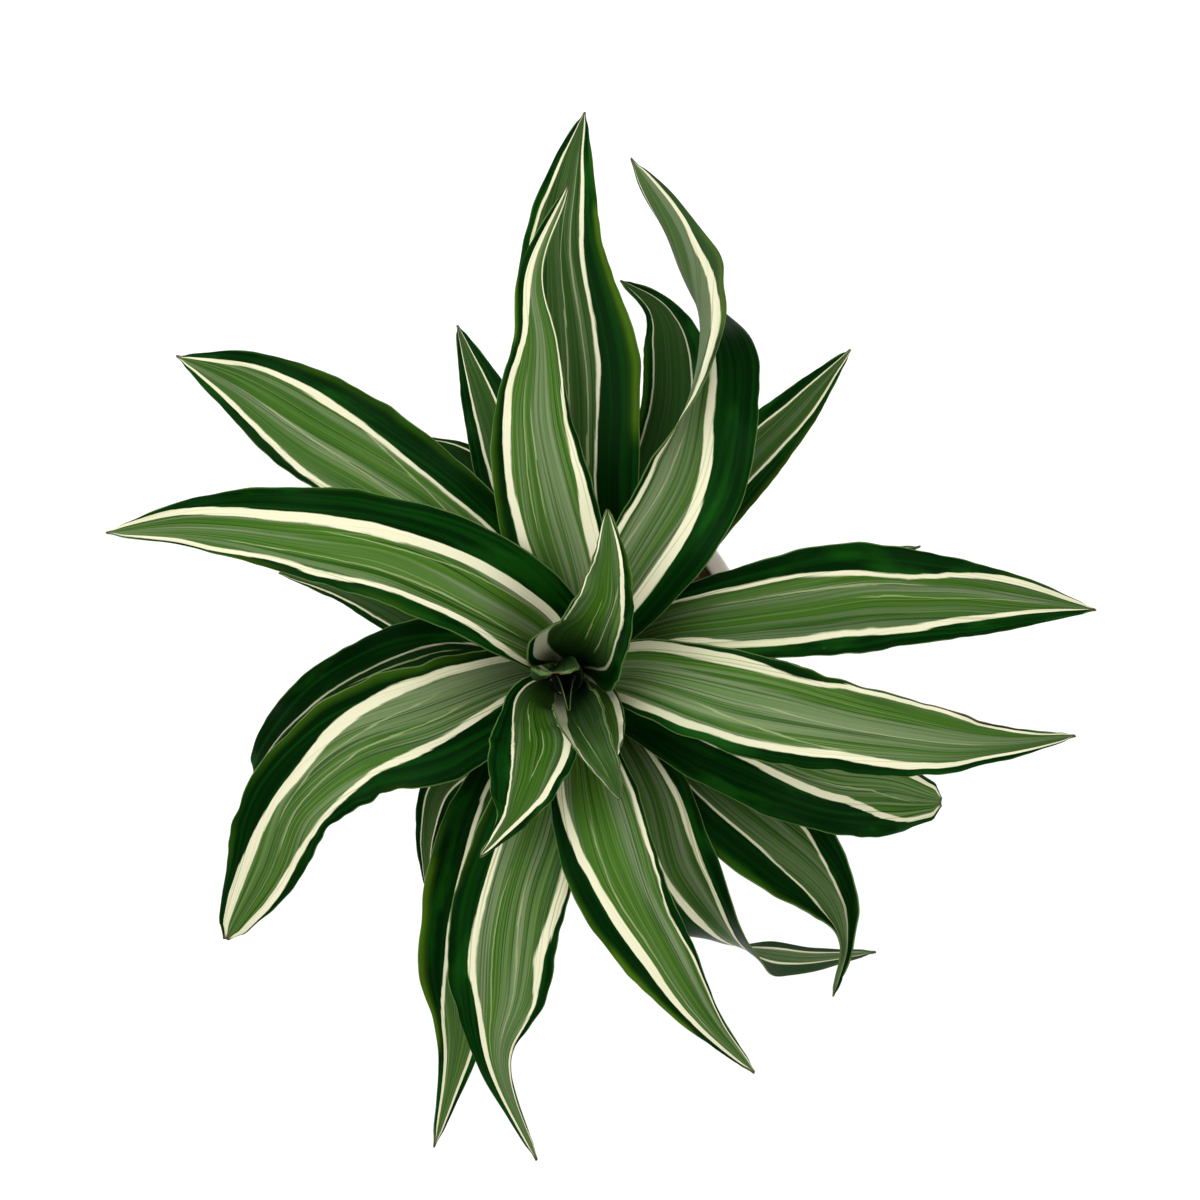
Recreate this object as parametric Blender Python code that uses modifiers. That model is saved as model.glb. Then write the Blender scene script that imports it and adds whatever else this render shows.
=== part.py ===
"""A striped dracaena in a plain round pot.

One cane stands in the soil of the pot. Its leaves sit on the cane in a tight spiral, each clasping it with a
curved base, then rising, arching over and drooping to a pointed tip. Metres, +Z up, with the origin at the
centre of the pot's underside, +X to the plant's east and +Y to its north.
"""

import math
from typing import NamedTuple

import bmesh
import bpy
from mathutils import Vector

# Pot
POT_HEIGHT = 0.165
POT_RIM_RADIUS = 0.098
POT_RIM_BAND = 0.020
POT_RIM_STEP = 0.004
POT_FOOT_RADIUS = 0.068
POT_WALL = 0.006
POT_FLOOR = 0.010
POT_LIP_EDGE = 0.002
POT_RIM_EDGE = 0.003
POT_BAND_EDGE = 0.002
POT_FOOT_EDGE = 0.003
TURNED_STEPS = 48
SHARP_ANGLE = math.radians(35.0)

# Soil and cane
GAP = 0.0003
SOIL_TOP = 0.148
SOIL_DOME = 0.004
SOIL_DOME_RINGS = ((0.035, 0.9), (0.065, 0.4))
CANE_FOOT = 0.040
CANE_TOP = 0.334
CANE_RADIUS = 0.012
CANE_TIP_RADIUS = 0.0075
CANE_LEAN = Vector((-0.006, -0.009))
CANE_RINGS = 8
CANE_ROUNDNESS = 6

# Unopened leaf: it stands on the cane's tip and leans south
SPEAR_TOP = 0.372
SPEAR_RADIUS = 0.0054
SPEAR_POINT_RADIUS = 0.0006
SPEAR_LEAN = Vector((0.0017, -0.0137))
SPEAR_RINGS = 6
SPEAR_ROUNDNESS = 3

# Leaf blades
BLADE_THICKNESS = 0.0008
BLADE_COLUMNS = 4
BLADE_ROWS = 18
CHORD_ROOM = 0.0003
TIP_HALF_WIDTH = 0.0008
BASE_SHARE = 0.15
SLOPE_STEP = 0.004
RIPPLE_START = 0.2
RIPPLE_SPREAD = 1800.0
FLAT_CURL = 0.0001
HIGH_GREEN = Vector((0.13, 0.25, 0.07))
LOW_GREEN = Vector((0.03, 0.08, 0.03))
LOWEST_LEAF = 0.198


class Leaf(NamedTuple):
    """One blade: where it leaves the cane, how it rises and droops, and its outline seen from above.

    The midline's stations run from near the cane to the tip, evenly spaced, and the seat on the cane comes
    before them. The half widths, curls and rolls are given at the seat and at each station, and the curls and
    rolls are in degrees.
    """

    name: str
    height: float
    lift: float
    droop: float
    midline: tuple
    half_widths: tuple
    gutter: float = 12.0
    left_curl: tuple = (0.0,)
    right_curl: tuple = (0.0,)
    roll: tuple = (0.0,)
    rise_length: float = 0.045
    wave: float = 0.0012
    waves: float = 6.0


LEAVES = (
    Leaf("leaf_crown_south", 0.332, 0.092, 0.030,
         ((0.002, -0.026), (0.0085, -0.039), (0.0155, -0.052), (0.0205, -0.065)),
         (0.010, 0.0135, 0.0095, 0.006, 0.001), rise_length=0.018),
    Leaf("leaf_crown_southwest", 0.319, 0.072, 0.018,
         ((-0.022, -0.0205), (-0.0229, -0.0314), (-0.0222, -0.041), (-0.025, -0.0525), (-0.0283, -0.0644),
          (-0.0323, -0.0761), (-0.0395, -0.086), (-0.0479, -0.095)),
         (0.009, 0.0138, 0.018, 0.0222, 0.0195, 0.015, 0.0078, 0.0035, 0.001),
         left_curl=(0.0, -35.0, -35.0, -15.0, 0.0, 0.0, 0.0, 0.0, 0.0), rise_length=0.020),
    Leaf("leaf_crown_north", 0.317, 0.088, 0.004,
         ((0.0015, 0.0095), (0.0085, 0.0205), (0.0135, 0.032), (0.0155, 0.045), (0.0155, 0.0583),
          (0.0145, 0.0745)),
         (0.008, 0.030, 0.0215, 0.0145, 0.0105, 0.006, 0.001),
         right_curl=(0.0, -14.0, 0.0, 0.0, 0.0, 0.0, 0.0), rise_length=0.015),
    Leaf("leaf_crown_east", 0.304, 0.090, 0.015,
         ((0.011, -0.020), (0.016, -0.033), (0.019, -0.046)),
         (0.009, 0.010, 0.008, 0.001), rise_length=0.020),
    Leaf("leaf_crown_inner", 0.3325, 0.044, 0.0,
         ((-0.0113, -0.0040), (-0.0111, -0.0048)),
         (0.004, 0.011, 0.0105), gutter=0.0, left_curl=(-58.0, -85.0, -95.0), right_curl=(-58.0, -85.0,
         -95.0),
         roll=(0.0, 28.0, 20.0), rise_length=0.0010, wave=0.0),
    Leaf("leaf_north_front", 0.296, 0.090, 0.035,
         ((-0.003, 0.031), (-0.015, 0.075), (-0.022, 0.119), (-0.021, 0.158), (-0.023, 0.194),
          (-0.005, 0.238)),
         (0.010, 0.021, 0.025, 0.020, 0.011, 0.006, 0.001)),
    Leaf("leaf_south_long", 0.290, 0.085, 0.040,
         ((0.001, -0.033), (0.009, -0.073), (0.0212, -0.113), (0.0425, -0.149), (0.063, -0.179),
          (0.089, -0.208)),
         (0.009, 0.013, 0.023, 0.0228, 0.0175, 0.009, 0.001)),
    Leaf("leaf_west_long", 0.306, 0.097, 0.050,
         ((-0.018, 0.018), (-0.055, 0.042), (-0.097, 0.0573), (-0.141, 0.0655), (-0.186, 0.0690),
          (-0.2355, 0.0645)),
         (0.010, 0.024, 0.0275, 0.0255, 0.0215, 0.013, 0.001)),
    Leaf("leaf_east_long", 0.300, 0.098, 0.050,
         ((0.033, -0.007), (0.083, -0.0202), (0.129, -0.0312), (0.176, -0.0382), (0.213, -0.040),
          (0.249, -0.037)),
         (0.010, 0.019, 0.0253, 0.0223, 0.0168, 0.008, 0.001)),
    Leaf("leaf_northeast_folded", 0.289, 0.090, 0.060,
         ((0.033, 0.047), (0.056, 0.086), (0.064, 0.126), (0.065, 0.158), (0.057, 0.186), (0.048, 0.218),
          (0.027, 0.257)),
         (0.010, 0.023, 0.026, 0.026, 0.026, 0.023, 0.013, 0.001),
         left_curl=(0.0, 5.0, 25.0, 110.0, 140.0, 90.0, 50.0, 20.0),
         right_curl=(0.0, 0.0, 0.0, 0.0, 10.0, 50.0, 60.0, 20.0),
         roll=(0.0, 0.0, 0.0, -10.0, -35.0, -100.0, -140.0, -160.0)),
    Leaf("leaf_north_tall", 0.268, 0.078, 0.055,
         ((0.007, 0.041), (0.003, 0.096), (-0.001, 0.152), (-0.008, 0.207), (-0.004, 0.250),
          (0.003, 0.286)),
         (0.010, 0.020, 0.028, 0.032, 0.022, 0.0125, 0.001)),
    Leaf("leaf_south_left", 0.272, 0.078, 0.055,
         ((-0.009, -0.037), (-0.024, -0.085), (-0.036, -0.128), (-0.0405, -0.167), (-0.043, -0.207),
          (-0.022, -0.261)),
         (0.010, 0.018, 0.026, 0.028, 0.025, 0.0085, 0.001)),
    Leaf("leaf_east_upper", 0.276, 0.080, 0.055,
         ((0.041, 0.016), (0.087, 0.025), (0.137, 0.032), (0.183, 0.032), (0.223, 0.030), (0.268, 0.026)),
         (0.010, 0.016, 0.024, 0.028, 0.022, 0.014, 0.001)),
    Leaf("leaf_southwest_broad", 0.283, 0.075, 0.065,
         ((-0.030, -0.013), (-0.0715, -0.030), (-0.114, -0.0435), (-0.1465, -0.072), (-0.163, -0.108),
          (-0.184, -0.146)),
         (0.010, 0.021, 0.031, 0.028, 0.0235, 0.0195, 0.005)),
    Leaf("leaf_southeast_under", 0.266, 0.075, 0.070,
         ((0.032, -0.025), (0.081, -0.047), (0.125, -0.065), (0.160, -0.072), (0.192, -0.076)),
         (0.010, 0.016, 0.023, 0.023, 0.0205, 0.008)),
    Leaf("leaf_southeast_curled", 0.254, 0.066, 0.125,
         ((0.017, -0.035), (0.037, -0.072), (0.052, -0.117), (0.0835, -0.1525), (0.117, -0.1643),
          (0.165, -0.166)),
         (0.010, 0.013, 0.021, 0.024, 0.015, 0.0082, 0.001),
         roll=(0.0, 0.0, 0.0, -5.0, -72.0, -160.0, -180.0)),
    Leaf("leaf_northwest_long", 0.258, 0.072, 0.055,
         ((-0.020, 0.026), (-0.059, 0.067), (-0.098, 0.0975), (-0.137, 0.1215), (-0.175, 0.144),
          (-0.213, 0.160)),
         (0.010, 0.016, 0.024, 0.0272, 0.0275, 0.018, 0.001)),
    Leaf("leaf_southeast_hooked", 0.238, 0.055, 0.035,
         ((0.032, -0.030), (0.068, -0.065), (0.1093, -0.0998), (0.1345, -0.1278), (0.142, -0.152),
          (0.136, -0.181)),
         (0.010, 0.016, 0.025, 0.0265, 0.0165, 0.006, 0.001),
         left_curl=(0.0, 0.0, 0.0, 20.0, 60.0, 90.0, 40.0),
         right_curl=(0.0, 0.0, 0.0, 20.0, 60.0, 90.0, 40.0)),
    Leaf("leaf_west_broad", 0.250, 0.065, 0.080,
         ((-0.031, -0.005), (-0.074, 0.001), (-0.118, -0.0155), (-0.1505, -0.041), (-0.177, -0.065)),
         (0.010, 0.016, 0.0212, 0.0212, 0.0195, 0.006)),
    Leaf("leaf_south_back", 0.245, 0.062, 0.055,
         ((-0.021, -0.040), (-0.042, -0.074), (-0.056, -0.116), (-0.062, -0.161), (-0.064, -0.206),
          (-0.078, -0.263)),
         (0.010, 0.016, 0.022, 0.024, 0.022, 0.011, 0.001)),
    Leaf("leaf_north_dark", 0.243, 0.058, 0.050,
         ((0.021, 0.044), (0.038, 0.089), (0.050, 0.132), (0.050, 0.165), (0.042, 0.187), (0.022, 0.203)),
         (0.010, 0.013, 0.018, 0.018, 0.016, 0.008, 0.001)),
    Leaf("leaf_northeast_low", 0.226, 0.042, 0.040,
         ((0.046, 0.047), (0.082, 0.097), (0.117, 0.134), (0.148, 0.168)),
         (0.010, 0.013, 0.018, 0.012, 0.001)),
    Leaf("leaf_north_low", 0.212, 0.045, 0.045,
         ((-0.011, 0.031), (-0.035, 0.090), (-0.0508, 0.139), (-0.068, 0.183)),
         (0.010, 0.013, 0.018, 0.0138, 0.001)),
    Leaf("leaf_west_low", 0.228, 0.045, 0.050,
         ((-0.038, 0.000), (-0.081, 0.021), (-0.125, 0.039), (-0.165, 0.046)),
         (0.010, 0.013, 0.018, 0.0108, 0.001)),
    Leaf("leaf_east_low", 0.216, 0.040, 0.040,
         ((0.038, -0.002), (0.082, -0.005), (0.127, -0.008)),
         (0.010, 0.009, 0.010, 0.001)),
    Leaf("leaf_northwest_low", 0.204, 0.045, 0.040,
         ((-0.016, 0.028), (-0.044, 0.075), (-0.064, 0.104), (-0.090, 0.121)),
         (0.010, 0.012, 0.018, 0.013, 0.001)),
    Leaf("leaf_southwest_thin", 0.220, 0.040, 0.050,
         ((-0.034, -0.043), (-0.072, -0.067), (-0.083, -0.096), (-0.085, -0.130)),
         (0.010, 0.010, 0.011, 0.007, 0.001)),
    Leaf("leaf_east_hidden", 0.198, 0.040, 0.040,
         ((0.044, 0.020), (0.110, 0.039), (0.190, 0.061)),
         (0.010, 0.011, 0.013, 0.001)),
)


def clear_scene():
    for item in list(bpy.data.objects):
        bpy.data.objects.remove(item, do_unlink=True)


def new_collection(name):
    collection = bpy.data.collections.new(name)
    bpy.context.scene.collection.children.link(collection)
    return collection


def material(name, colour, roughness, metallic=0.0):
    found = bpy.data.materials.new(name)
    found.use_nodes = True
    shader = found.node_tree.nodes["Principled BSDF"]
    shader.inputs["Base Color"].default_value = (*colour, 1.0)
    shader.inputs["Roughness"].default_value = roughness
    shader.inputs["Metallic"].default_value = metallic
    return found


def new_object(name, data, collection, surface):
    item = bpy.data.objects.new(name, data)
    collection.objects.link(item)
    item.data.materials.append(surface)
    return item


def turned(name, profile, collection, surface):
    """A solid of revolution round Z from a closed profile at +X, shaded smooth with its hard edges kept."""
    mesh = bpy.data.meshes.new(name)
    shape = bmesh.new()
    points = [shape.verts.new((radius, 0.0, height)) for radius, height in profile]
    for first, second in zip(points, points[1:]):
        shape.edges.new((first, second))
    shape.to_mesh(mesh)
    shape.free()
    item = new_object(name, mesh, collection, surface)
    screw = item.modifiers.new("Turn", "SCREW")
    screw.steps = TURNED_STEPS
    screw.render_steps = TURNED_STEPS
    screw.use_merge_vertices = True
    screw.merge_threshold = 0.0001
    solid = bpy.data.meshes.new_from_object(item.evaluated_get(bpy.context.evaluated_depsgraph_get()))
    solid.shade_smooth()
    solid.set_sharp_from_angle(angle=SHARP_ANGLE)
    item.modifiers.clear()
    item.data = solid
    return item


def smooth(t):
    t = min(max(t, 0.0), 1.0)
    return t * t * (3.0 - 2.0 * t)


def cane_centre(height):
    """The cane's axis, which leans a little towards its growing tip."""
    up = smooth((height - SOIL_TOP) / (CANE_TOP - SOIL_TOP))
    return CANE_LEAN * up


def cane_radius(height):
    up = min(max((height - SOIL_TOP) / (CANE_TOP - SOIL_TOP), 0.0), 1.0)
    return CANE_RADIUS + (CANE_TIP_RADIUS - CANE_RADIUS) * up


def along(stations, s):
    """A smooth curve through evenly spaced stations, numbers or vectors, at s from 0 to 1."""
    last = len(stations) - 1
    if last == 0:
        return stations[0]
    place = min(max(s, 0.0), 1.0) * last
    i = min(int(place), last - 1)
    t = place - i
    a = stations[i]
    b = stations[i + 1]
    before = stations[i - 1] if i > 0 else a + (a - b)
    after = stations[i + 2] if i + 2 <= last else b + (b - a)
    return 0.5 * (2 * a + (b - before) * t + (2 * before - 5 * a + 4 * b - after) * t * t
                  + (3 * a - before - 3 * b + after) * t * t * t)


def plan_stations(leaf):
    """The midline's stations seen from above, from its seat on the cane to its tip, and the run to each."""
    centre = cane_centre(leaf.height)
    outward = (Vector(leaf.midline[0]) - centre).normalized()
    seat = centre + outward * (cane_radius(leaf.height) + GAP + CHORD_ROOM + BLADE_THICKNESS / 2)
    stations = [seat] + [Vector(point) for point in leaf.midline]
    runs = [0.0]
    for here, there in zip(stations, stations[1:]):
        runs.append(runs[-1] + (there - here).length)
    return stations, runs


def midline(leaf, stations, runs, s):
    """A point of the blade's midline in space."""
    plan = along(stations, s)
    run = along(runs, s)
    rise = leaf.lift * (1.0 - math.exp(-run / leaf.rise_length))
    return Vector((plan.x, plan.y, leaf.height + rise - leaf.droop * (run / runs[-1]) ** 2))


def blade_point(leaf, stations, runs, s, u):
    """The blade's surface: s runs from base to tip, u from -1 at the left margin to 1 at the right one."""
    here = midline(leaf, stations, runs, s)
    ahead = midline(leaf, stations, runs, min(s + SLOPE_STEP, 1.0))
    behind = midline(leaf, stations, runs, max(s - SLOPE_STEP, 0.0))
    forward = (ahead - behind).normalized()
    right = forward.cross(Vector((0.0, 0.0, 1.0))).normalized()
    up = right.cross(forward)
    half = max(along(leaf.half_widths, s), TIP_HALF_WIDTH)

    reach = (here.xy - cane_centre(here.z)).length
    clasp = half * max(forward.z, 0.0) / reach
    extra = along(leaf.left_curl if u < 0 else leaf.right_curl, s)
    curl = clasp + math.radians(leaf.gutter * smooth(s / BASE_SHARE) + extra)
    turn = curl * abs(u)
    if abs(curl) < FLAT_CURL:
        across = half * abs(u)
        raised = 0.0
    else:
        across = half * math.sin(turn) / curl
        raised = half * (1.0 - math.cos(turn)) / curl
    side = -1.0 if u < 0 else 1.0
    ripple = leaf.wave * smooth(s / RIPPLE_START) * abs(u) ** 3
    raised += ripple * math.sin(2.0 * math.pi * leaf.waves * s + RIPPLE_SPREAD * leaf.height + side)

    roll = math.radians(along(leaf.roll, s))
    level = right * math.cos(roll) + up * math.sin(roll)
    above = up * math.cos(roll) - right * math.sin(roll)
    return here + level * (side * across) + above * raised


def build_leaf(leaf, collection):
    """A grid bent to the blade's surface, split into triangles, then given its thickness."""
    up = (leaf.height - LOWEST_LEAF) / (CANE_TOP - LOWEST_LEAF)
    green = material(leaf.name + "_blade", LOW_GREEN.lerp(HIGH_GREEN, up), 0.4)
    stations, runs = plan_stations(leaf)
    shape = bmesh.new()
    bmesh.ops.create_grid(shape, x_segments=BLADE_COLUMNS, y_segments=BLADE_ROWS, size=1.0)
    for vertex in shape.verts:
        s = (vertex.co.y + 1.0) / 2.0
        vertex.co = blade_point(leaf, stations, runs, s, vertex.co.x)
    bmesh.ops.triangulate(shape, faces=shape.faces[:])
    mesh = bpy.data.meshes.new(leaf.name)
    shape.to_mesh(mesh)
    shape.free()
    mesh.shade_smooth()
    item = new_object(leaf.name, mesh, collection, green)
    thick = item.modifiers.new("Thickness", "SOLIDIFY")
    thick.thickness = BLADE_THICKNESS
    thick.offset = 0.0
    return item


def build_pot(collection):
    glaze = material("pot_glaze", (0.78, 0.74, 0.71), 0.35)
    outer = POT_RIM_RADIUS
    under_band = outer - POT_RIM_STEP
    band_bottom = POT_HEIGHT - POT_RIM_BAND
    inner = under_band - POT_WALL
    profile = [
        (0.0, POT_FLOOR),
        (POT_FOOT_RADIUS - POT_WALL, POT_FLOOR),
        (inner, band_bottom),
        (inner, POT_HEIGHT - POT_LIP_EDGE),
        (inner + POT_LIP_EDGE, POT_HEIGHT),
        (outer - POT_RIM_EDGE, POT_HEIGHT),
        (outer, POT_HEIGHT - POT_RIM_EDGE),
        (outer, band_bottom + POT_BAND_EDGE),
        (outer - POT_BAND_EDGE, band_bottom),
        (under_band, band_bottom - POT_BAND_EDGE / 2),
        (POT_FOOT_RADIUS, POT_FOOT_EDGE),
        (POT_FOOT_RADIUS - POT_FOOT_EDGE, 0.0),
        (0.0, 0.0),
    ]
    return turned("pot", profile, collection, glaze)


def inner_radius(height):
    """The pot's inside radius at a height."""
    inner = POT_RIM_RADIUS - POT_RIM_STEP - POT_WALL
    band_bottom = POT_HEIGHT - POT_RIM_BAND
    t = min((height - POT_FLOOR) / (band_bottom - POT_FLOOR), 1.0)
    foot = POT_FOOT_RADIUS - POT_WALL
    return foot + (inner - foot) * t


def build_soil(collection):
    """Potting mix that fills the pot, domed a little, with a plain hole for the cane."""
    earth = material("potting_soil", (0.045, 0.030, 0.020), 0.95)
    bottom = POT_FLOOR + GAP
    band_bottom = POT_HEIGHT - POT_RIM_BAND
    hole = CANE_RADIUS + GAP
    dome = [(radius, SOIL_TOP + SOIL_DOME * share) for radius, share in SOIL_DOME_RINGS]
    profile = [
        (0.0, CANE_FOOT - GAP),
        (hole, CANE_FOOT - GAP),
        (hole, SOIL_TOP + SOIL_DOME),
        *dome,
        (inner_radius(SOIL_TOP) - GAP, SOIL_TOP),
        (inner_radius(band_bottom) - GAP, band_bottom),
        (inner_radius(bottom) - GAP, bottom),
        (0.0, bottom),
    ]
    return turned("soil", profile, collection, earth)


def tapered(name, rings, roundness, collection, surface):
    """A round rod with filled ends through rings of (point, radius)."""
    curve = bpy.data.curves.new(name, "CURVE")
    curve.dimensions = "3D"
    curve.bevel_depth = 1.0
    curve.bevel_resolution = roundness
    curve.use_fill_caps = True
    spline = curve.splines.new("POLY")
    spline.points.add(len(rings) - 1)
    for point, (centre, radius) in zip(spline.points, rings):
        point.co = (centre.x, centre.y, centre.z, 1.0)
        point.radius = radius
    return new_object(name, curve, collection, surface)


def build_cane(collection):
    """The cane: it tapers and leans from the soil's hole to the growing tip."""
    bark = material("cane_bark", (0.23, 0.25, 0.12), 0.7)
    rings = [(Vector((0.0, 0.0, CANE_FOOT)), CANE_RADIUS)]
    for i in range(CANE_RINGS + 1):
        height = SOIL_TOP + (CANE_TOP - SOIL_TOP) * i / CANE_RINGS
        rings.append((cane_centre(height).to_3d() + Vector((0.0, 0.0, height)), cane_radius(height)))
    return tapered("cane", rings, CANE_ROUNDNESS, collection, bark)


def build_spear(collection):
    """The unopened leaf: a rolled cone on the cane's tip."""
    rolled = material("leaf_crown_spear_blade", (0.02, 0.07, 0.02), 0.35)
    foot = cane_centre(CANE_TOP).to_3d() + Vector((0.0, 0.0, CANE_TOP + GAP))
    tip = (cane_centre(CANE_TOP) + SPEAR_LEAN).to_3d() + Vector((0.0, 0.0, SPEAR_TOP))
    rings = []
    for i in range(SPEAR_RINGS + 1):
        t = i / SPEAR_RINGS
        centre = foot.lerp(tip, t)
        centre.xy = foot.xy.lerp(tip.xy, t * t)
        rings.append((centre, SPEAR_RADIUS + (SPEAR_POINT_RADIUS - SPEAR_RADIUS) * t))
    return tapered("leaf_crown_spear", rings, SPEAR_ROUNDNESS, collection, rolled)


def main():
    clear_scene()
    plant = new_collection("potted_dracaena")
    build_pot(plant)
    build_soil(plant)
    build_cane(plant)
    build_spear(plant)
    for leaf in LEAVES:
        build_leaf(leaf, plant)


main()
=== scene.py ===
"""The potted dracaena, seen from straight above in a soft white studio. Sizes are in metres."""

import math
from typing import NamedTuple

import bmesh
import bpy
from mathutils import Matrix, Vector, noise


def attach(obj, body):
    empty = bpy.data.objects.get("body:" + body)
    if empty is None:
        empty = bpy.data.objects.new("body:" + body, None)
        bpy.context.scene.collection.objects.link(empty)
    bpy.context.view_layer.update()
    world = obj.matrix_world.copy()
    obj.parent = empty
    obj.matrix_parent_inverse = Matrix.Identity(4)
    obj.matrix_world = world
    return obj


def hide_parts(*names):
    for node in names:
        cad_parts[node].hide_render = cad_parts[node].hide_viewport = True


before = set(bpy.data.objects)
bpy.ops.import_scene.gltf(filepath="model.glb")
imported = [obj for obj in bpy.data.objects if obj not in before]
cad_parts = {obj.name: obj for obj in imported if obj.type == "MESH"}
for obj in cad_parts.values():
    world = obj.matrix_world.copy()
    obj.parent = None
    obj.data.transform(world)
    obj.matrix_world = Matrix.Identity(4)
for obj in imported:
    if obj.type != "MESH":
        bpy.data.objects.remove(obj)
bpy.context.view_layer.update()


# The pot: one slip-cast stoneware pot with a rolled rim band, tapering to a flat foot.
# It is dipped in a soft off-white glaze, a little cloudy, with fine brown specks.

def add(tree, kind, inputs=(), **settings):
    """A shader node with its settings. Inputs are given by place, as values or as other nodes' sockets."""
    made = tree.nodes.new("ShaderNode" + kind)
    for setting, value in settings.items():
        setattr(made, setting, value)
    for place, value in dict(inputs).items():
        if isinstance(value, bpy.types.NodeSocket):
            tree.links.new(value, made.inputs[place])
        else:
            made.inputs[place].default_value = value
    return made


def mix(tree, share, first, second):
    """A colour between two others."""
    return add(tree, "Mix", {0: share, 6: first, 7: second}, data_type="RGBA").outputs[2]


def ramp(tree, value, low, high):
    """A mask that goes smoothly from 0 at low to 1 at high."""
    return add(tree, "MapRange", {0: value, 1: low, 2: high}, interpolation_type="SMOOTHSTEP").outputs[0]


def calc(tree, operation, first, second=0.0, third=0.0):
    """A value worked out from one to three others."""
    return add(tree, "Math", {0: first, 1: second, 2: third}, operation=operation).outputs[0]


def grain(tree, place, scale, detail=2.0, roughness=0.5):
    """Noise from 0 to 1 at a place."""
    made = add(tree, "TexNoise", {"Vector": place, "Scale": scale, "Detail": detail, "Roughness": roughness})
    return made.outputs["Fac"]


def paint(red, green, blue):
    """A colour from its 0 to 255 screen values."""
    levels = []
    for value in (red, green, blue):
        share = value / 255.0
        levels.append(share / 12.92 if share <= 0.04045 else ((share + 0.055) / 1.055) ** 2.4)
    return (*levels, 1.0)


def surface(name):
    """A new material with its node tree and shader."""
    made = bpy.data.materials.new(name)
    made.use_nodes = True
    return made, made.node_tree, made.node_tree.nodes["Principled BSDF"]


def relief(tree, shader, height, strength, distance):
    """Bumps on the surface."""
    bumps = add(tree, "Bump", {"Strength": strength, "Distance": distance, "Height": height})
    tree.links.new(bumps.outputs["Normal"], shader.inputs["Normal"])


def place_piece(name, data, node, slot, *surfaces):
    """Puts a finished piece in the scene in place of its plain solid."""
    item = bpy.data.objects.new(name, data)
    bpy.context.scene.collection.objects.link(item)
    for finish in surfaces:
        item.data.materials.append(finish)
    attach(item, "root")
    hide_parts(node)
    return item


def smooth_mesh(name, shape):
    """A smoothly shaded mesh of a shape that is done."""
    mesh = bpy.data.meshes.new(name)
    shape.to_mesh(mesh)
    shape.free()
    mesh.shade_smooth()
    return mesh


def spun(name, profile, steps):
    """A mesh turned round Z from a profile that starts and ends on the axis."""
    shape = bmesh.new()
    points = [shape.verts.new((radius, 0.0, height)) for radius, height in profile]
    for first, second in zip(points, points[1:]):
        shape.edges.new((first, second))
    bmesh.ops.spin(shape, geom=shape.verts[:] + shape.edges[:], cent=(0, 0, 0), axis=(0, 0, 1),
                   angle=math.tau, steps=steps, use_merge=True)
    bmesh.ops.remove_doubles(shape, verts=shape.verts[:], dist=0.00002)
    bmesh.ops.recalc_face_normals(shape, faces=shape.faces[:])
    return smooth_mesh(name, shape)


POT_STEPS = 144
GLAZE_SWELLS = 0.0008

# Radii and heights: the inside from the middle up, the rim and its band, then the outside down to the foot.
pot_profile = (
    (0.0, 0.010), (0.055, 0.010), (0.060, 0.011), (0.0635, 0.014), (0.0875, 0.143), (0.088, 0.146),
    (0.088, 0.1625), (0.0887, 0.1643), (0.0905, 0.165), (0.0945, 0.165), (0.0968, 0.1642), (0.098, 0.162),
    (0.098, 0.148), (0.0975, 0.1462), (0.096, 0.145), (0.0943, 0.1445), (0.0937, 0.143), (0.0692, 0.006),
    (0.0688, 0.003), (0.0676, 0.0008), (0.066, 0.0), (0.060, 0.0), (0.058, 0.0012), (0.0, 0.0012),
)
glaze, tree, shader = surface("pot_glaze")
place = add(tree, "TexCoord").outputs["Object"]
cloud = grain(tree, place, 22.0, 4.0)
speck = ramp(tree, grain(tree, place, 620.0, 1.0), 0.70, 0.76)
tint = mix(tree, cloud, paint(230, 218, 203), paint(239, 229, 217))
speckled = mix(tree, calc(tree, "MULTIPLY", speck, 0.5), tint, paint(168, 150, 132))
tree.links.new(speckled, shader.inputs["Base Color"])
tree.links.new(calc(tree, "MULTIPLY_ADD", cloud, 0.14, 0.22), shader.inputs["Roughness"])
shader.inputs["Coat Weight"].default_value = 0.4
relief(tree, shader, grain(tree, place, 60.0, 3.0), 0.15, GLAZE_SWELLS)
place_piece("pot_finished", spun("pot_finished", pot_profile, POT_STEPS), "pot", "pot_glaze", glaze)


# The soil: one body of loose, dark potting mix that fills the pot, pressed round the cane and domed a little.
# Its top is lumpy, with bark crumbs and a few pale grains of grit.

HOLE_RADIUS = 0.0123
DOME_RADIUS = 0.0872
DOME_HEIGHT = 0.1512
DOME_DROP = 0.0040
DOME_RINGS = 46
SOIL_STEPS = 180
LUMP_HEIGHT = 0.0016
LUMP_SIZES = 160.0
LUMPS_ABOVE = 0.146
LUMPS_BEGIN = 0.0127
LUMPS_END = 0.0880
LUMPS_GROW = 0.004
CRUMB_DEPTH = 0.0016

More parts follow.
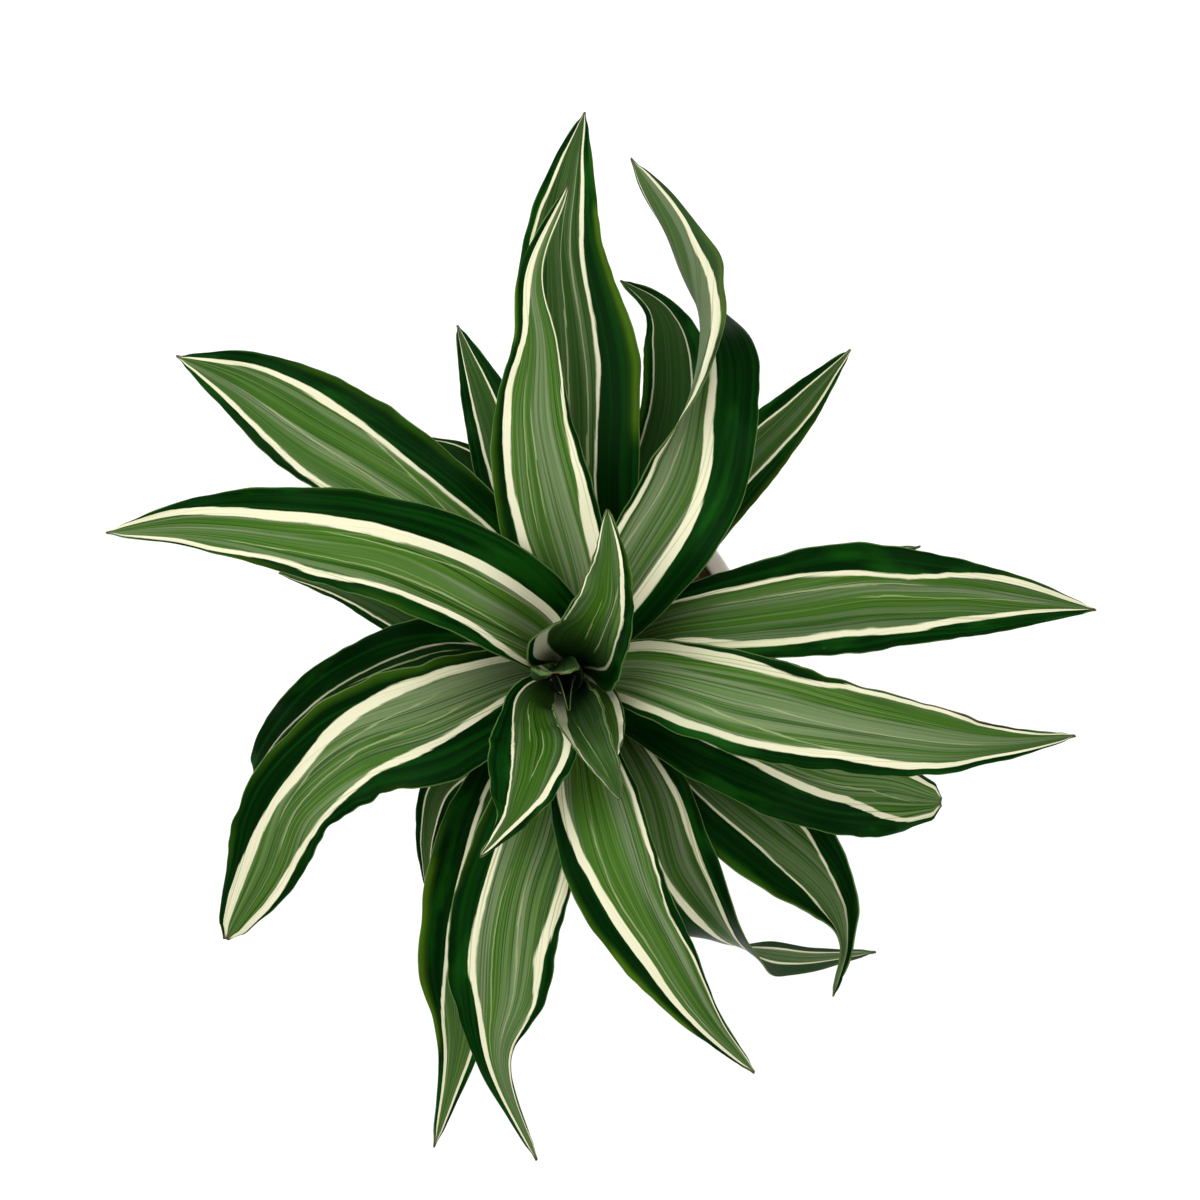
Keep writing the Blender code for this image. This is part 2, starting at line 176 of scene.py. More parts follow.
soil_rings = [(0.0, 0.0397), (HOLE_RADIUS, 0.0397), (HOLE_RADIUS, 0.100), (HOLE_RADIUS, DOME_HEIGHT)]
for i in range(1, DOME_RINGS):
    t = i / DOME_RINGS
    soil_rings.append((HOLE_RADIUS + (DOME_RADIUS - HOLE_RADIUS) * t, DOME_HEIGHT - DOME_DROP * t * t))
soil_rings += [(0.0877, 0.1455), (0.0868, 0.143), (0.0622, 0.0108), (0.0, 0.0103)]
soil_mesh = spun("soil_finished", soil_rings, SOIL_STEPS)
for vertex in soil_mesh.vertices:
    radius = vertex.co.xy.length
    if vertex.co.z > LUMPS_ABOVE and radius > LUMPS_BEGIN:
        hold = min((radius - LUMPS_BEGIN) / LUMPS_GROW, (LUMPS_END - radius) / LUMPS_GROW, 1.0)
        lumps = noise.fractal(vertex.co * LUMP_SIZES, 0.9, 2.0, 4)
        vertex.co.z += LUMP_HEIGHT * lumps * max(hold, 0.0)
earth, tree, shader = surface("potting_soil")
place = add(tree, "TexCoord").outputs["Object"]
crumbs = add(tree, "TexVoronoi", {"Vector": place, "Scale": 420.0})
crumb_tone = add(tree, "SeparateColor", {0: crumbs.outputs["Color"]}).outputs[0]
peat = mix(tree, grain(tree, place, 90.0, 4.0), paint(38, 28, 20), paint(88, 66, 46))
chips = mix(tree, ramp(tree, crumb_tone, 0.72, 0.95), peat, paint(126, 98, 68))
grit = mix(tree, ramp(tree, crumb_tone, 0.985, 0.99), chips, paint(205, 198, 186))
tree.links.new(grit, shader.inputs["Base Color"])
shader.inputs["Roughness"].default_value = 0.95
crumbled = calc(tree, "ADD", crumbs.outputs["Distance"], grain(tree, place, 1500.0, 3.0))
relief(tree, shader, crumbled, 0.9, CRUMB_DEPTH)
place_piece("soil_finished", soil_mesh, "soil", "potting_soil", earth)


# The cane: a tan woody stem, ringed with the close scars of leaves that have dropped and green near its tip.
# It stands in the soil's hole, tapers and leans a little to the southwest.

CANE_FOOT = 0.040
SOIL_TOP = 0.148
CANE_TOP = 0.334
CANE_LEAN = Vector((-0.006, -0.009))
CANE_RADIUS = 0.012
CANE_TAPER = 0.0045
CANE_RINGS = 160
CANE_ROUNDNESS = 14
SCAR_SPACING = 0.0085
SCAR_DEPTH = 0.0006
BARK_DEPTH = 0.0009


def stretched(tree, place, scale):
    """A place scaled differently along each axis."""
    return add(tree, "Mapping", {"Vector": place, "Scale": scale}).outputs["Vector"]


def smooth(t):
    """Goes from 0 to 1 with a soft start and end, and stays there."""
    t = min(max(t, 0.0), 1.0)
    return t * t * (3.0 - 2.0 * t)


def share_up(height):
    """How far up the cane a height is, from 0 at the soil to 1 at the tip."""
    return min(max((height - SOIL_TOP) / (CANE_TOP - SOIL_TOP), 0.0), 1.0)


def cane_centre(height):
    """The cane's axis at a height, seen from above."""
    return CANE_LEAN * smooth(share_up(height))


def cane_radius(height):
    """The cane's radius at a height, without its scars."""
    return CANE_RADIUS - CANE_TAPER * share_up(height)


def rod(name, rings, roundness):
    """A round rod with filled ends through rings of centre and radius."""
    curve = bpy.data.curves.new(name, "CURVE")
    curve.dimensions = "3D"
    curve.bevel_depth = 1.0
    curve.bevel_resolution = roundness
    curve.use_fill_caps = True
    spline = curve.splines.new("POLY")
    spline.points.add(len(rings) - 1)
    for point, (centre, radius) in zip(spline.points, rings):
        point.co = (*centre, 1.0)
        point.radius = radius
    spline.use_smooth = True
    return curve


cane_rings = [(Vector((0.0, 0.0, CANE_FOOT)), CANE_RADIUS)]
for i in range(CANE_RINGS + 1):
    height = SOIL_TOP + (CANE_TOP - SOIL_TOP) * i / CANE_RINGS
    swell = abs(math.sin(math.pi * (height - SOIL_TOP) / SCAR_SPACING + 0.6 * math.sin(90.0 * height)))
    cane_rings.append((cane_centre(height).to_3d() + Vector((0.0, 0.0, height)),
                       cane_radius(height) - SCAR_DEPTH * (1.0 - swell) ** 3))
bark, tree, shader = surface("cane_bark")
place = add(tree, "TexCoord").outputs["Object"]
fibres = grain(tree, stretched(tree, place, (300.0, 300.0, 40.0)), 1.0, 4.0)
rings = grain(tree, stretched(tree, place, (12.0, 12.0, 420.0)), 1.0, 3.0)
skin = mix(tree, fibres, paint(118, 112, 74), paint(158, 148, 108))
up = add(tree, "SeparateXYZ", {0: place}).outputs[2]
skin = mix(tree, ramp(tree, up, 0.20, 0.33), skin, paint(104, 126, 62))
# The very top of the cane is painted near-black: painted shade of the crown's hollow, not its own colour.
skin = mix(tree, ramp(tree, up, 0.328, 0.333), skin, paint(6, 20, 6))
tree.links.new(mix(tree, ramp(tree, rings, 0.55, 0.70), skin, paint(76, 64, 44)), shader.inputs["Base Color"])
shader.inputs["Roughness"].default_value = 0.75
shader.inputs["Specular IOR Level"].default_value = 0.15
relief(tree, shader, calc(tree, "ADD", rings, fibres), 0.6, BARK_DEPTH)
place_piece("cane_finished", rod("cane_finished", cane_rings, CANE_ROUNDNESS), "cane", "cane_bark", bark)


# The leaves: long tough straps, one solid each, clasping the cane with a curved base and drooping to a point.
# Each is deep green with a cream stripe along both sides, and paler, finely lined green between the stripes.

BLADE_THICKNESS = 0.0008
BLADE_COLUMNS = 24
CROWN_ROWS = 60
LONG_ROWS = 108
SEAT_GAP = 0.001
ROW_REACH = 0.004
TIP_LENGTH = 0.04
LEAST_HALF_WIDTH = 0.0003
GUTTER_BEGINS = 0.15
RIPPLES_BEGIN = 0.2
RIPPLE_SHIFT = 1800.0
FADE_LENGTH = 0.05
OLIVE_FROM = 0.8
SCAR_FROM = 0.92
NO_THREAD = (5.0, 0.0)
VEIN_DEPTH = 0.0005


class Leaf(NamedTuple):
    """One blade. The midline's stations, half widths, curls and rolls run from the cane to the tip.

    Height is where the blade leaves the cane. It rises by lift, most of it within rise_length, and sinks by
    droop at its tip. Gutter is the curl that both sides have all along, in degrees like the curls and rolls.
    Wave and waves are the height and number of the margins' ripples, and ruffle is how uneven they are.

    The stripes run from base to tip too, as the outer and inner edge of the cream in shares of the half
    width, and fade is how cream they are. Bands are the sides of a bright band and of a pale one, from -1 at
    the left margin to 1 at the right, or past it where there is none. Tones are how pale, how bright and how
    deep the centre's green is; the deep share is partly a darker green and mostly painted shade, high on the
    low leaves, at the crown leaves' bases and in the crown's hollow. A thread is a thin pale line through
    places along and across the blade. Olive and scar are margins, -1 or 1, that are bright green or dried
    brown, and where along the blade they are.
    """

    name: str
    height: float
    lift: float
    droop: float
    midline: tuple
    half_widths: tuple
    gutter: float = 12.0
    left_curl: tuple = (0.0,)
    right_curl: tuple = (0.0,)
    roll: tuple = (0.0,)
    rise_length: float = 0.045
    wave: float = 0.0012
    waves: float = 6.0
    left_stripe: tuple = ((0.78, 0.70),)
    right_stripe: tuple = ((0.78, 0.70),)
    fade: tuple = (1.0,)
    bands: tuple = (2.0, 2.1, 2.0, 2.1)
    seed: float = 0.5
    tones: tuple = ((0.5, 0.3, 0.2),)
    threads: tuple = ()
    olive: tuple = (0.0, 2.0, 2.1)
    scar: tuple = (0.0, 2.0, 2.1)
    ruffle: float = 0.05


# The third number of each tone, deep, is mostly painted shade: high on the low leaves, at the crown leaves'
# bases and on the crown's inner leaf.
LEAVES = (
    Leaf("leaf_crown_south", 0.332, 0.092, 0.030,
         ((0.002, -0.026), (0.0085, -0.039), (0.0155, -0.052), (0.0205, -0.065)),
         (0.010, 0.0135, 0.0095, 0.006, 0.001), rise_length=0.018,
         left_stripe=((1.4, 1.3),),
         right_stripe=((0.97, 0.52), (0.97, 0.50), (0.96, 0.78), (0.97, 0.90), (0.97, 0.91), (0.97, 0.90)),
         fade=(0.1, 0.25, 0.35, 0.6, 0.7, 0.7), seed=0.05,
         tones=((0.3, 0.1, 1.0), (0.4, 0.1, 0.80), (0.6, 0.2, 0.50), (0.6, 0.2, 0.30)),
         threads=(((0.06, -0.93), (0.50, -0.92), (0.98, -0.90)), ((0.30, 0.30), (0.60, 0.20), (0.80, 0.26))),
         ruffle=0.08),
    Leaf("leaf_crown_southwest", 0.319, 0.072, 0.018,
         ((-0.022, -0.0205), (-0.0229, -0.0314), (-0.0222, -0.041), (-0.025, -0.0525), (-0.0283, -0.0644),
          (-0.0323, -0.0761), (-0.0395, -0.086), (-0.0479, -0.095)),
         (0.009, 0.0138, 0.018, 0.0222, 0.0195, 0.015, 0.0078, 0.0035, 0.001),
         left_curl=(0.0, -35.0, -35.0, -15.0, 0.0, 0.0, 0.0, 0.0, 0.0), rise_length=0.020,
         left_stripe=((0.93, 0.72), (0.93, 0.72), (0.93, 0.72), (0.93, 0.72), (0.83, 0.68), (0.79, 0.65),
                      (0.79, 0.62), (0.66, 0.46), (0.50, 0.22), (0.50, 0.15), (0.50, 0.10)),
         right_stripe=((0.80, 0.72), (0.75, 0.67), (0.61, 0.55), (0.50, 0.44), (0.46, 0.40), (0.40, 0.36),
                       (0.37, 0.32), (0.47, 0.37), (0.74, 0.52), (0.85, 0.60), (0.85, 0.60)),
         bands=(-0.45, 0.20, 2.0, 2.1), seed=0.11,
         tones=((0.2, 0.6, 0.8), (0.4, 0.9, 0.4), (0.5, 0.7, 0.35), (0.6, 0.2, 0.4)),
         threads=(((0.12, 0.16), (0.24, 0.06), (0.36, 0.05)), ((0.26, -0.26), (0.40, -0.24), (0.56, -0.16))),
         ruffle=0.06),
    Leaf("leaf_crown_north", 0.317, 0.088, 0.004,
         ((0.0015, 0.0095), (0.0085, 0.0205), (0.0135, 0.032), (0.0155, 0.045), (0.0155, 0.0583),
          (0.0145, 0.0745)),
         (0.008, 0.030, 0.0215, 0.0145, 0.0105, 0.006, 0.001),
         left_curl=(0.0, -8.0, 42.0, 18.0, 0.0, 0.0, 0.0), right_curl=(0.0, -32.0, -10.0, 0.0, 0.0, 0.0, 0.0),
         rise_length=0.015,
         left_stripe=((0.86, 0.50), (0.87, 0.52), (0.88, 0.62), (0.90, 0.76), (0.90, 0.80), (0.94, 0.86),
                      (0.96, 0.89), (0.94, 0.86), (0.90, 0.80), (0.90, 0.75), (0.90, 0.75)),
         right_stripe=((0.60, 0.54), (0.60, 0.54), (0.64, 0.58), (0.68, 0.63), (0.70, 0.62), (0.68, 0.54),
                       (0.66, 0.50), (0.66, 0.50), (0.72, 0.54), (0.80, 0.60), (0.80, 0.60)),
         fade=(0.3, 0.5, 0.8, 1.0, 1.0, 1.0), bands=(-0.40, 0.15, 2.0, 2.1), seed=0.17,
         tones=((0.1, 0.0, 1.0), (0.2, 0.5, 0.75), (0.4, 0.9, 0.3), (0.5, 0.7, 0.3), (0.7, 0.4, 0.3),
                (0.8, 0.2, 0.35)),
         threads=(((0.16, 0.26), (0.40, 0.30), (0.60, 0.42)), ((0.20, 0.02), (0.34, -0.04), (0.50, -0.08))),
         ruffle=0.08, wave=0.0025, waves=3.5),
    Leaf("leaf_crown_east", 0.304, 0.090, 0.015,
         ((0.011, -0.020), (0.016, -0.033), (0.019, -0.046)),
         (0.009, 0.010, 0.008, 0.001), rise_length=0.020,
         left_stripe=((0.90, 0.55),), right_stripe=((0.90, 0.70),), seed=0.23, tones=((0.4, 0.6, 0.2),)),
    Leaf("leaf_crown_inner", 0.3325, 0.044, 0.0,
         ((-0.0113, -0.0040), (-0.0111, -0.0048)),
         (0.004, 0.0115, 0.0115), gutter=0.0,
         left_curl=(-20.0, -76.0, -78.0), right_curl=(-20.0, -76.0, -78.0),
         roll=(8.0, 8.0, 8.0), rise_length=0.0010, wave=0.0,
         left_stripe=((1.4, 1.3),), right_stripe=((1.4, 1.3),), seed=0.29,
         tones=((0.1, 0.0, 1.0), (0.2, 0.0, 0.9), (1.0, 0.0, 0.15))),
    Leaf("leaf_north_front", 0.296, 0.090, 0.035,
         ((-0.003, 0.031), (-0.015, 0.075), (-0.022, 0.119), (-0.021, 0.158), (-0.023, 0.194),
          (-0.005, 0.238)),
         (0.010, 0.021, 0.025, 0.020, 0.011, 0.006, 0.001),
         left_stripe=((0.72, 0.54), (0.72, 0.54), (0.72, 0.54), (0.71, 0.53), (0.73, 0.58), (0.76, 0.56),
                      (0.80, 0.60), (0.60, 0.33), (0.42, -0.10), (0.40, -0.10), (0.45, -0.10)),
         right_stripe=((0.90, 0.60), (0.90, 0.60), (0.90, 0.60), (0.88, 0.62), (0.88, 0.73), (0.86, 0.77),
                       (0.96, 0.90), (0.97, 0.93), (0.95, 0.88), (0.95, 0.80), (0.95, 0.60)),
         bands=(-0.38, -0.22, -0.05, 0.45), seed=0.31,
         tones=((0.8, 0.3, 0.1), (0.9, 0.4, 0.05), (0.6, 0.6, 0.15), (0.3, 0.3, 0.3)),
         threads=(((0.28, -0.30), (0.45, -0.22), (0.62, -0.24)),
                  ((0.30, -0.08), (0.44, -0.02), (0.56, -0.06))),
         olive=(-1.0, 0.64, 0.84), scar=(1.0, 0.47, 0.56)),
    Leaf("leaf_south_long", 0.290, 0.085, 0.040,
         ((0.001, -0.033), (0.009, -0.073), (0.0212, -0.113), (0.0425, -0.149), (0.063, -0.179),
          (0.089, -0.208)),
         (0.009, 0.013, 0.023, 0.0228, 0.0175, 0.009, 0.001),
         left_stripe=((0.93, 0.82), (0.93, 0.82), (0.93, 0.82), (0.90, 0.80), (0.92, 0.80), (0.89, 0.85),
                      (0.78, 0.73), (0.88, 0.82), (0.91, 0.85), (0.85, 0.75), (0.80, 0.60)),
         right_stripe=((0.90, 0.70), (0.90, 0.70), (0.90, 0.70), (0.84, 0.65), (0.68, 0.50), (0.51, 0.32),
                       (0.50, 0.26), (0.55, 0.31), (0.61, 0.39), (0.70, 0.43), (0.70, 0.40)),
         bands=(-0.30, 0.05, -0.62, -0.45), seed=0.37,
         tones=((0.6, 0.6, 0.1), (0.5, 0.7, 0.05), (0.5, 0.6, 0.1), (0.7, 0.1, 0.15)),
         threads=(((0.34, 0.20), (0.60, 0.10), (0.90, 0.22)),), olive=(1.0, 0.56, 0.86)),
    Leaf("leaf_west_long", 0.306, 0.097, 0.050,
         ((-0.018, 0.018), (-0.055, 0.042), (-0.097, 0.0573), (-0.141, 0.0655), (-0.186, 0.0690),
          (-0.2355, 0.0645)),
         (0.010, 0.024, 0.0275, 0.0255, 0.0215, 0.013, 0.001),
         left_stripe=((0.95, 0.83), (0.95, 0.83), (0.92, 0.80), (0.78, 0.66), (0.74, 0.66), (0.77, 0.70),
                      (0.85, 0.73), (0.80, 0.68), (0.93, 0.80), (0.88, 0.68), (0.92, 0.70)),
         right_stripe=((0.42, 0.22), (0.42, 0.22), (0.41, 0.21), (0.41, 0.21), (0.39, 0.20), (0.41, 0.17),
                       (0.40, 0.18), (0.41, 0.18), (0.52, 0.26), (0.78, 0.46), (0.97, 0.60)),
         bands=(-0.10, 0.13, -0.36, -0.14), seed=0.41,
         tones=((0.9, 0.7, 0.0), (0.8, 0.75, 0.05), (0.6, 0.7, 0.1), (0.8, 0.2, 0.1)),
         threads=(((0.18, -0.46), (0.50, -0.42), (0.80, -0.52)), ((0.20, 0.16), (0.50, 0.04), (0.62, 0.06)))),
    Leaf("leaf_east_long", 0.300, 0.098, 0.050,
         ((0.033, -0.007), (0.083, -0.0202), (0.129, -0.0312), (0.176, -0.0382), (0.213, -0.040),
          (0.249, -0.037)),
         (0.010, 0.019, 0.0253, 0.0223, 0.0168, 0.008, 0.001),
         left_stripe=((0.97, 0.66), (0.97, 0.66), (0.95, 0.68), (0.90, 0.65), (0.79, 0.68), (0.93, 0.82),
                      (0.96, 0.86), (0.94, 0.82), (0.88, 0.76), (0.85, 0.65), (0.85, 0.60)),
         right_stripe=((0.88, 0.62), (0.88, 0.62), (0.86, 0.66), (0.78, 0.63), (0.75, 0.60), (0.71, 0.53),
                       (0.80, 0.62), (0.80, 0.66), (0.72, 0.58), (0.80, 0.62), (0.80, 0.60)),
         fade=(0.5, 0.7, 1.0, 1.0, 1.0), bands=(-0.66, -0.42, -0.36, 0.10), seed=0.43,
         tones=((0.9, 0.2, 0.0), (0.8, 0.4, 0.0), (0.6, 0.6, 0.1), (0.3, 0.3, 0.35)),
         threads=(((0.24, 0.24), (0.38, 0.40), (0.54, 0.54)), ((0.34, -0.05), (0.60, 0.02), (0.80, 0.08))),
         scar=(-1.0, 0.60, 0.88), ruffle=0.09),
    Leaf("leaf_northeast_folded", 0.289, 0.090, 0.060,
         ((0.033, 0.047), (0.056, 0.086), (0.064, 0.126), (0.065, 0.158), (0.057, 0.186), (0.048, 0.218),
          (0.027, 0.257)),
         (0.010, 0.023, 0.026, 0.026, 0.026, 0.023, 0.013, 0.001),
         left_curl=(0.0, 5.0, 25.0, 110.0, 140.0, 90.0, 50.0, 20.0),
         right_curl=(0.0, 0.0, 0.0, 0.0, 10.0, 50.0, 60.0, 20.0),
         roll=(0.0, 0.0, 0.0, -10.0, -35.0, -100.0, -140.0, -160.0),
         left_stripe=((0.92, 0.82), (0.92, 0.82), (0.92, 0.82), (0.92, 0.84), (0.95, 0.86), (0.94, 0.80),
                      (0.90, 0.73), (0.79, 0.62), (0.62, 0.44), (0.72, 0.53), (0.80, 0.60)),
         right_stripe=((0.45, 0.16), (0.44, 0.16), (0.40, 0.16), (0.28, 0.07), (0.16, -0.02), (0.14, 0.00),
                       (0.14, 0.00), (0.30, 0.20), (0.60, 0.50), (0.80, 0.70), (0.80, 0.70)),
         bands=(-0.16, -0.08, -0.75, -0.20), seed=0.47,
         tones=((0.9, 0.2, 0.15), (0.8, 0.3, 0.2), (0.5, 0.3, 0.25), (0.6, 0.3, 0.1)),
         threads=(((0.12, -0.62), (0.26, -0.52), (0.40, -0.40)),), olive=(-1.0, 0.55, 0.86)),
    Leaf("leaf_north_tall", 0.268, 0.078, 0.055,
         ((0.007, 0.041), (0.003, 0.096), (-0.001, 0.152), (-0.008, 0.207), (-0.004, 0.250),
          (0.003, 0.286)),
         (0.010, 0.020, 0.028, 0.032, 0.022, 0.0125, 0.001),
         left_stripe=((0.80, 0.70), (0.80, 0.70), (0.80, 0.70), (0.80, 0.70), (0.80, 0.70), (0.80, 0.70),
                      (0.82, 0.74), (0.84, 0.76), (0.74, 0.64), (0.66, 0.54), (0.60, 0.50)),
         right_stripe=((0.28, 0.22), (0.28, 0.22), (0.26, 0.21), (0.22, 0.18), (0.28, 0.24), (0.39, 0.31),
                       (0.44, 0.37), (0.52, 0.43), (0.57, 0.43), (0.50, 0.36), (0.50, 0.30)),
         bands=(2.0, 2.1, 0.10, 0.28), seed=0.53,
         tones=((0.2, 0.2, 0.9), (0.3, 0.5, 0.58), (0.3, 0.5, 0.56), (0.3, 0.4, 0.50)),
         threads=(((0.20, -0.02), (0.45, 0.14), (0.92, 0.20)), ((0.40, -0.20), (0.60, -0.08), (0.80, -0.02))),
         olive=(1.0, 0.36, 0.80)),
    Leaf("leaf_south_left", 0.272, 0.078, 0.055,
         ((-0.009, -0.037), (-0.024, -0.085), (-0.036, -0.128), (-0.0405, -0.167), (-0.043, -0.207),
          (-0.022, -0.261)),
         (0.010, 0.018, 0.026, 0.028, 0.025, 0.0085, 0.001),
         left_stripe=((0.92, 0.76), (0.92, 0.76), (0.92, 0.76), (0.92, 0.76), (0.93, 0.76), (0.90, 0.72),
                      (0.79, 0.61), (0.83, 0.76), (0.93, 0.84), (0.92, 0.80), (0.90, 0.70)),
         right_stripe=((0.56, 0.43), (0.56, 0.43), (0.56, 0.43), (0.56, 0.43), (0.53, 0.43), (0.56, 0.43),
                       (0.61, 0.47), (0.52, 0.40), (0.43, 0.22), (0.52, 0.26), (0.55, 0.25)),
         bands=(-0.10, 0.06, -0.62, -0.30), seed=0.59,
         tones=((0.7, 0.3, 0.5), (0.8, 0.5, 0.1), (0.8, 0.4, 0.0), (0.6, 0.3, 0.2)),
         threads=(((0.40, 0.14), (0.60, 0.18), (0.85, 0.06)), ((0.40, -0.20), (0.60, -0.28), (0.80, -0.36)))),
    Leaf("leaf_east_upper", 0.276, 0.080, 0.055,
         ((0.041, 0.016), (0.087, 0.025), (0.137, 0.032), (0.183, 0.032), (0.223, 0.030), (0.268, 0.026)),
         (0.010, 0.016, 0.024, 0.028, 0.022, 0.014, 0.001),
         left_stripe=((0.68, 0.60), (0.68, 0.60), (0.68, 0.60), (0.61, 0.53), (0.58, 0.50), (0.50, 0.43),
                      (0.45, 0.37), (0.64, 0.52), (0.83, 0.63), (0.88, 0.61), (0.90, 0.50)),
         right_stripe=((0.60, 0.40), (0.60, 0.40), (0.60, 0.40), (0.76, 0.58), (0.74, 0.61), (0.68, 0.58),
                       (0.73, 0.59), (0.63, 0.49), (0.55, 0.41), (0.42, 0.25), (0.25, 0.10)),
         bands=(-0.46, -0.32, -0.30, 0.00), seed=0.61,
         tones=((0.8, 0.2, 0.45), (0.6, 0.6, 0.25), (0.4, 0.8, 0.2), (0.3, 0.4, 0.35)),
         threads=(((0.26, -0.28), (0.45, -0.22), (0.66, -0.26)),
                  ((0.50, -0.02), (0.70, 0.00), (0.92, -0.10)))),
    Leaf("leaf_southwest_broad", 0.283, 0.075, 0.065,
         ((-0.030, -0.013), (-0.0715, -0.030), (-0.114, -0.0435), (-0.1465, -0.072), (-0.163, -0.108),
          (-0.184, -0.146)),
         (0.010, 0.021, 0.031, 0.028, 0.0235, 0.0195, 0.005),
         left_stripe=((0.19, 0.06), (0.19, 0.06), (0.21, 0.08), (0.32, 0.21), (0.51, 0.37), (0.67, 0.56),
                      (0.78, 0.69), (0.83, 0.74), (0.74, 0.57), (0.88, 0.60), (0.90, 0.50)),
         right_stripe=((0.80, 0.66), (0.80, 0.66), (0.80, 0.66), (0.80, 0.66), (0.76, 0.56), (0.58, 0.36),
                       (0.39, 0.17), (0.39, 0.21), (0.55, 0.29), (0.70, 0.32), (0.70, 0.30)),
         bands=(-0.52, -0.34, 0.05, 0.45), seed=0.67,
         tones=((0.9, 0.1, 0.35), (1.0, 0.2, 0.0), (0.7, 0.4, 0.0), (0.3, 0.6, 0.15)),
         threads=(((0.26, 0.10), (0.55, -0.18), (0.80, -0.24)), ((0.30, 0.44), (0.50, 0.14), (0.74, -0.02))),
         ruffle=0.09),
    Leaf("leaf_southeast_under", 0.266, 0.075, 0.070,
         ((0.032, -0.025), (0.081, -0.047), (0.125, -0.065), (0.160, -0.072), (0.192, -0.076)),
         (0.010, 0.016, 0.023, 0.023, 0.0205, 0.008),
         left_stripe=((0.90, 0.80), (0.90, 0.80), (0.90, 0.80), (0.90, 0.80), (0.88, 0.74), (0.80, 0.62)),
         right_stripe=((0.08, 0.03), (0.08, 0.03), (0.08, 0.03), (0.08, 0.02), (0.10, 0.00), (0.17, 0.03),
                       (0.25, 0.08), (0.31, 0.14), (0.55, 0.40), (0.76, 0.62), (0.84, 0.60)),
         bands=(2.0, 2.1, -0.50, -0.25), seed=0.71,
         tones=((0.3, 0.2, 0.9), (0.6, 0.4, 0.35), (1.0, 0.5, 0.0), (1.0, 0.4, 0.0)),
         threads=(((0.55, -0.10), (0.75, -0.12), (0.92, 0.10)),)),
    Leaf("leaf_southeast_curled", 0.254, 0.066, 0.125,
         ((0.017, -0.035), (0.037, -0.072), (0.052, -0.117), (0.0835, -0.1525), (0.117, -0.1643),
          (0.165, -0.166)),
         (0.010, 0.013, 0.021, 0.024, 0.015, 0.0082, 0.001),
         roll=(0.0, 0.0, 0.0, -5.0, -72.0, -160.0, -180.0),
         left_stripe=((0.70, 0.56), (0.70, 0.56), (0.68, 0.55), (0.68, 0.54), (0.70, 0.56), (0.68, 0.59),
                      (0.60, 0.50), (0.40, 0.26), (0.34, 0.22), (0.30, 0.20), (0.30, 0.20)),
         right_stripe=((0.40, 0.30), (0.40, 0.30), (0.40, 0.30), (0.40, 0.30), (0.36, 0.26), (0.26, 0.13),
                       (0.36, 0.14), (0.60, 0.44), (0.64, 0.52), (0.62, 0.52), (0.60, 0.50)),
         bands=(2.0, 2.1, -0.45, -0.30), seed=0.73,
         tones=((0.6, 0.1, 0.7), (0.7, 0.3, 0.4), (0.7, 0.2, 0.3), (1.0, 0.0, 0.0))),
    Leaf("leaf_northwest_long", 0.258, 0.072, 0.055,
         ((-0.020, 0.026), (-0.059, 0.067), (-0.098, 0.0975), (-0.137, 0.1215), (-0.175, 0.144),
          (-0.213, 0.160)),
         (0.010, 0.016, 0.024, 0.0272, 0.0275, 0.018, 0.001),
         left_stripe=((0.92, 0.82), (0.92, 0.82), (0.92, 0.82), (0.92, 0.82), (0.92, 0.82), (0.92, 0.82),
                      (0.91, 0.82), (0.83, 0.71), (0.76, 0.64), (0.69, 0.56), (0.65, 0.40)),
         right_stripe=((0.47, 0.38), (0.47, 0.38), (0.47, 0.38), (0.46, 0.38), (0.37, 0.31), (0.43, 0.34),
                       (0.51, 0.39), (0.61, 0.46), (0.64, 0.52), (0.58, 0.42), (0.50, 0.25)),
         bands=(2.0, 2.1, -0.36, -0.18), seed=0.79,
         tones=((0.5, 0.4, 0.3), (0.6, 0.5, 0.1), (0.5, 0.6, 0.1), (0.5, 0.3, 0.2)),
         threads=(((0.34, 0.02), (0.46, 0.18), (0.60, 0.42)), ((0.36, -0.34), (0.60, -0.26), (0.80, -0.20)))),
    Leaf("leaf_southeast_hooked", 0.238, 0.055, 0.035,
         ((0.032, -0.030), (0.068, -0.065), (0.1093, -0.0998), (0.1345, -0.1278), (0.142, -0.152),
          (0.136, -0.181)),
         (0.010, 0.016, 0.025, 0.0265, 0.0165, 0.006, 0.001),
         left_curl=(0.0, 0.0, 0.0, 20.0, 60.0, 90.0, 40.0),
         right_curl=(0.0, 0.0, 0.0, 20.0, 60.0, 90.0, 40.0),
         left_stripe=((0.60, 0.53), (0.60, 0.53), (0.60, 0.53), (0.60, 0.53), (0.60, 0.53), (0.58, 0.52),
                      (0.39, 0.32), (0.29, 0.21), (0.18, 0.10), (0.18, 0.10), (0.18, 0.10)),
         right_stripe=((0.36, 0.31), (0.36, 0.31), (0.36, 0.31), (0.36, 0.31), (0.36, 0.31), (0.38, 0.34),
                       (0.46, 0.41), (0.58, 0.53), (0.70, 0.65), (0.75, 0.70), (0.75, 0.70)),
         fade=(0.8, 0.8, 0.8, 0.8, 0.3, 0.2), bands=(2.0, 2.1, -0.30, -0.10), seed=0.83,
         tones=((0.4, 0.1, 0.6), (0.5, 0.2, 0.5), (0.5, 0.2, 0.35), (0.9, 0.0, 0.1))),
    Leaf("leaf_west_broad", 0.250, 0.065, 0.080,
         ((-0.031, -0.005), (-0.074, 0.001), (-0.118, -0.0155), (-0.1505, -0.041), (-0.177, -0.065)),
         (0.010, 0.016, 0.0212, 0.0212, 0.0195, 0.006),
         left_stripe=((0.93, 0.80),),
         right_stripe=((0.50, 0.46), (0.50, 0.46), (0.48, 0.44), (0.45, 0.41), (0.34, 0.30), (0.29, 0.25),
                       (0.28, 0.24), (0.31, 0.27), (0.35, 0.31), (0.34, 0.30), (0.30, 0.25)),
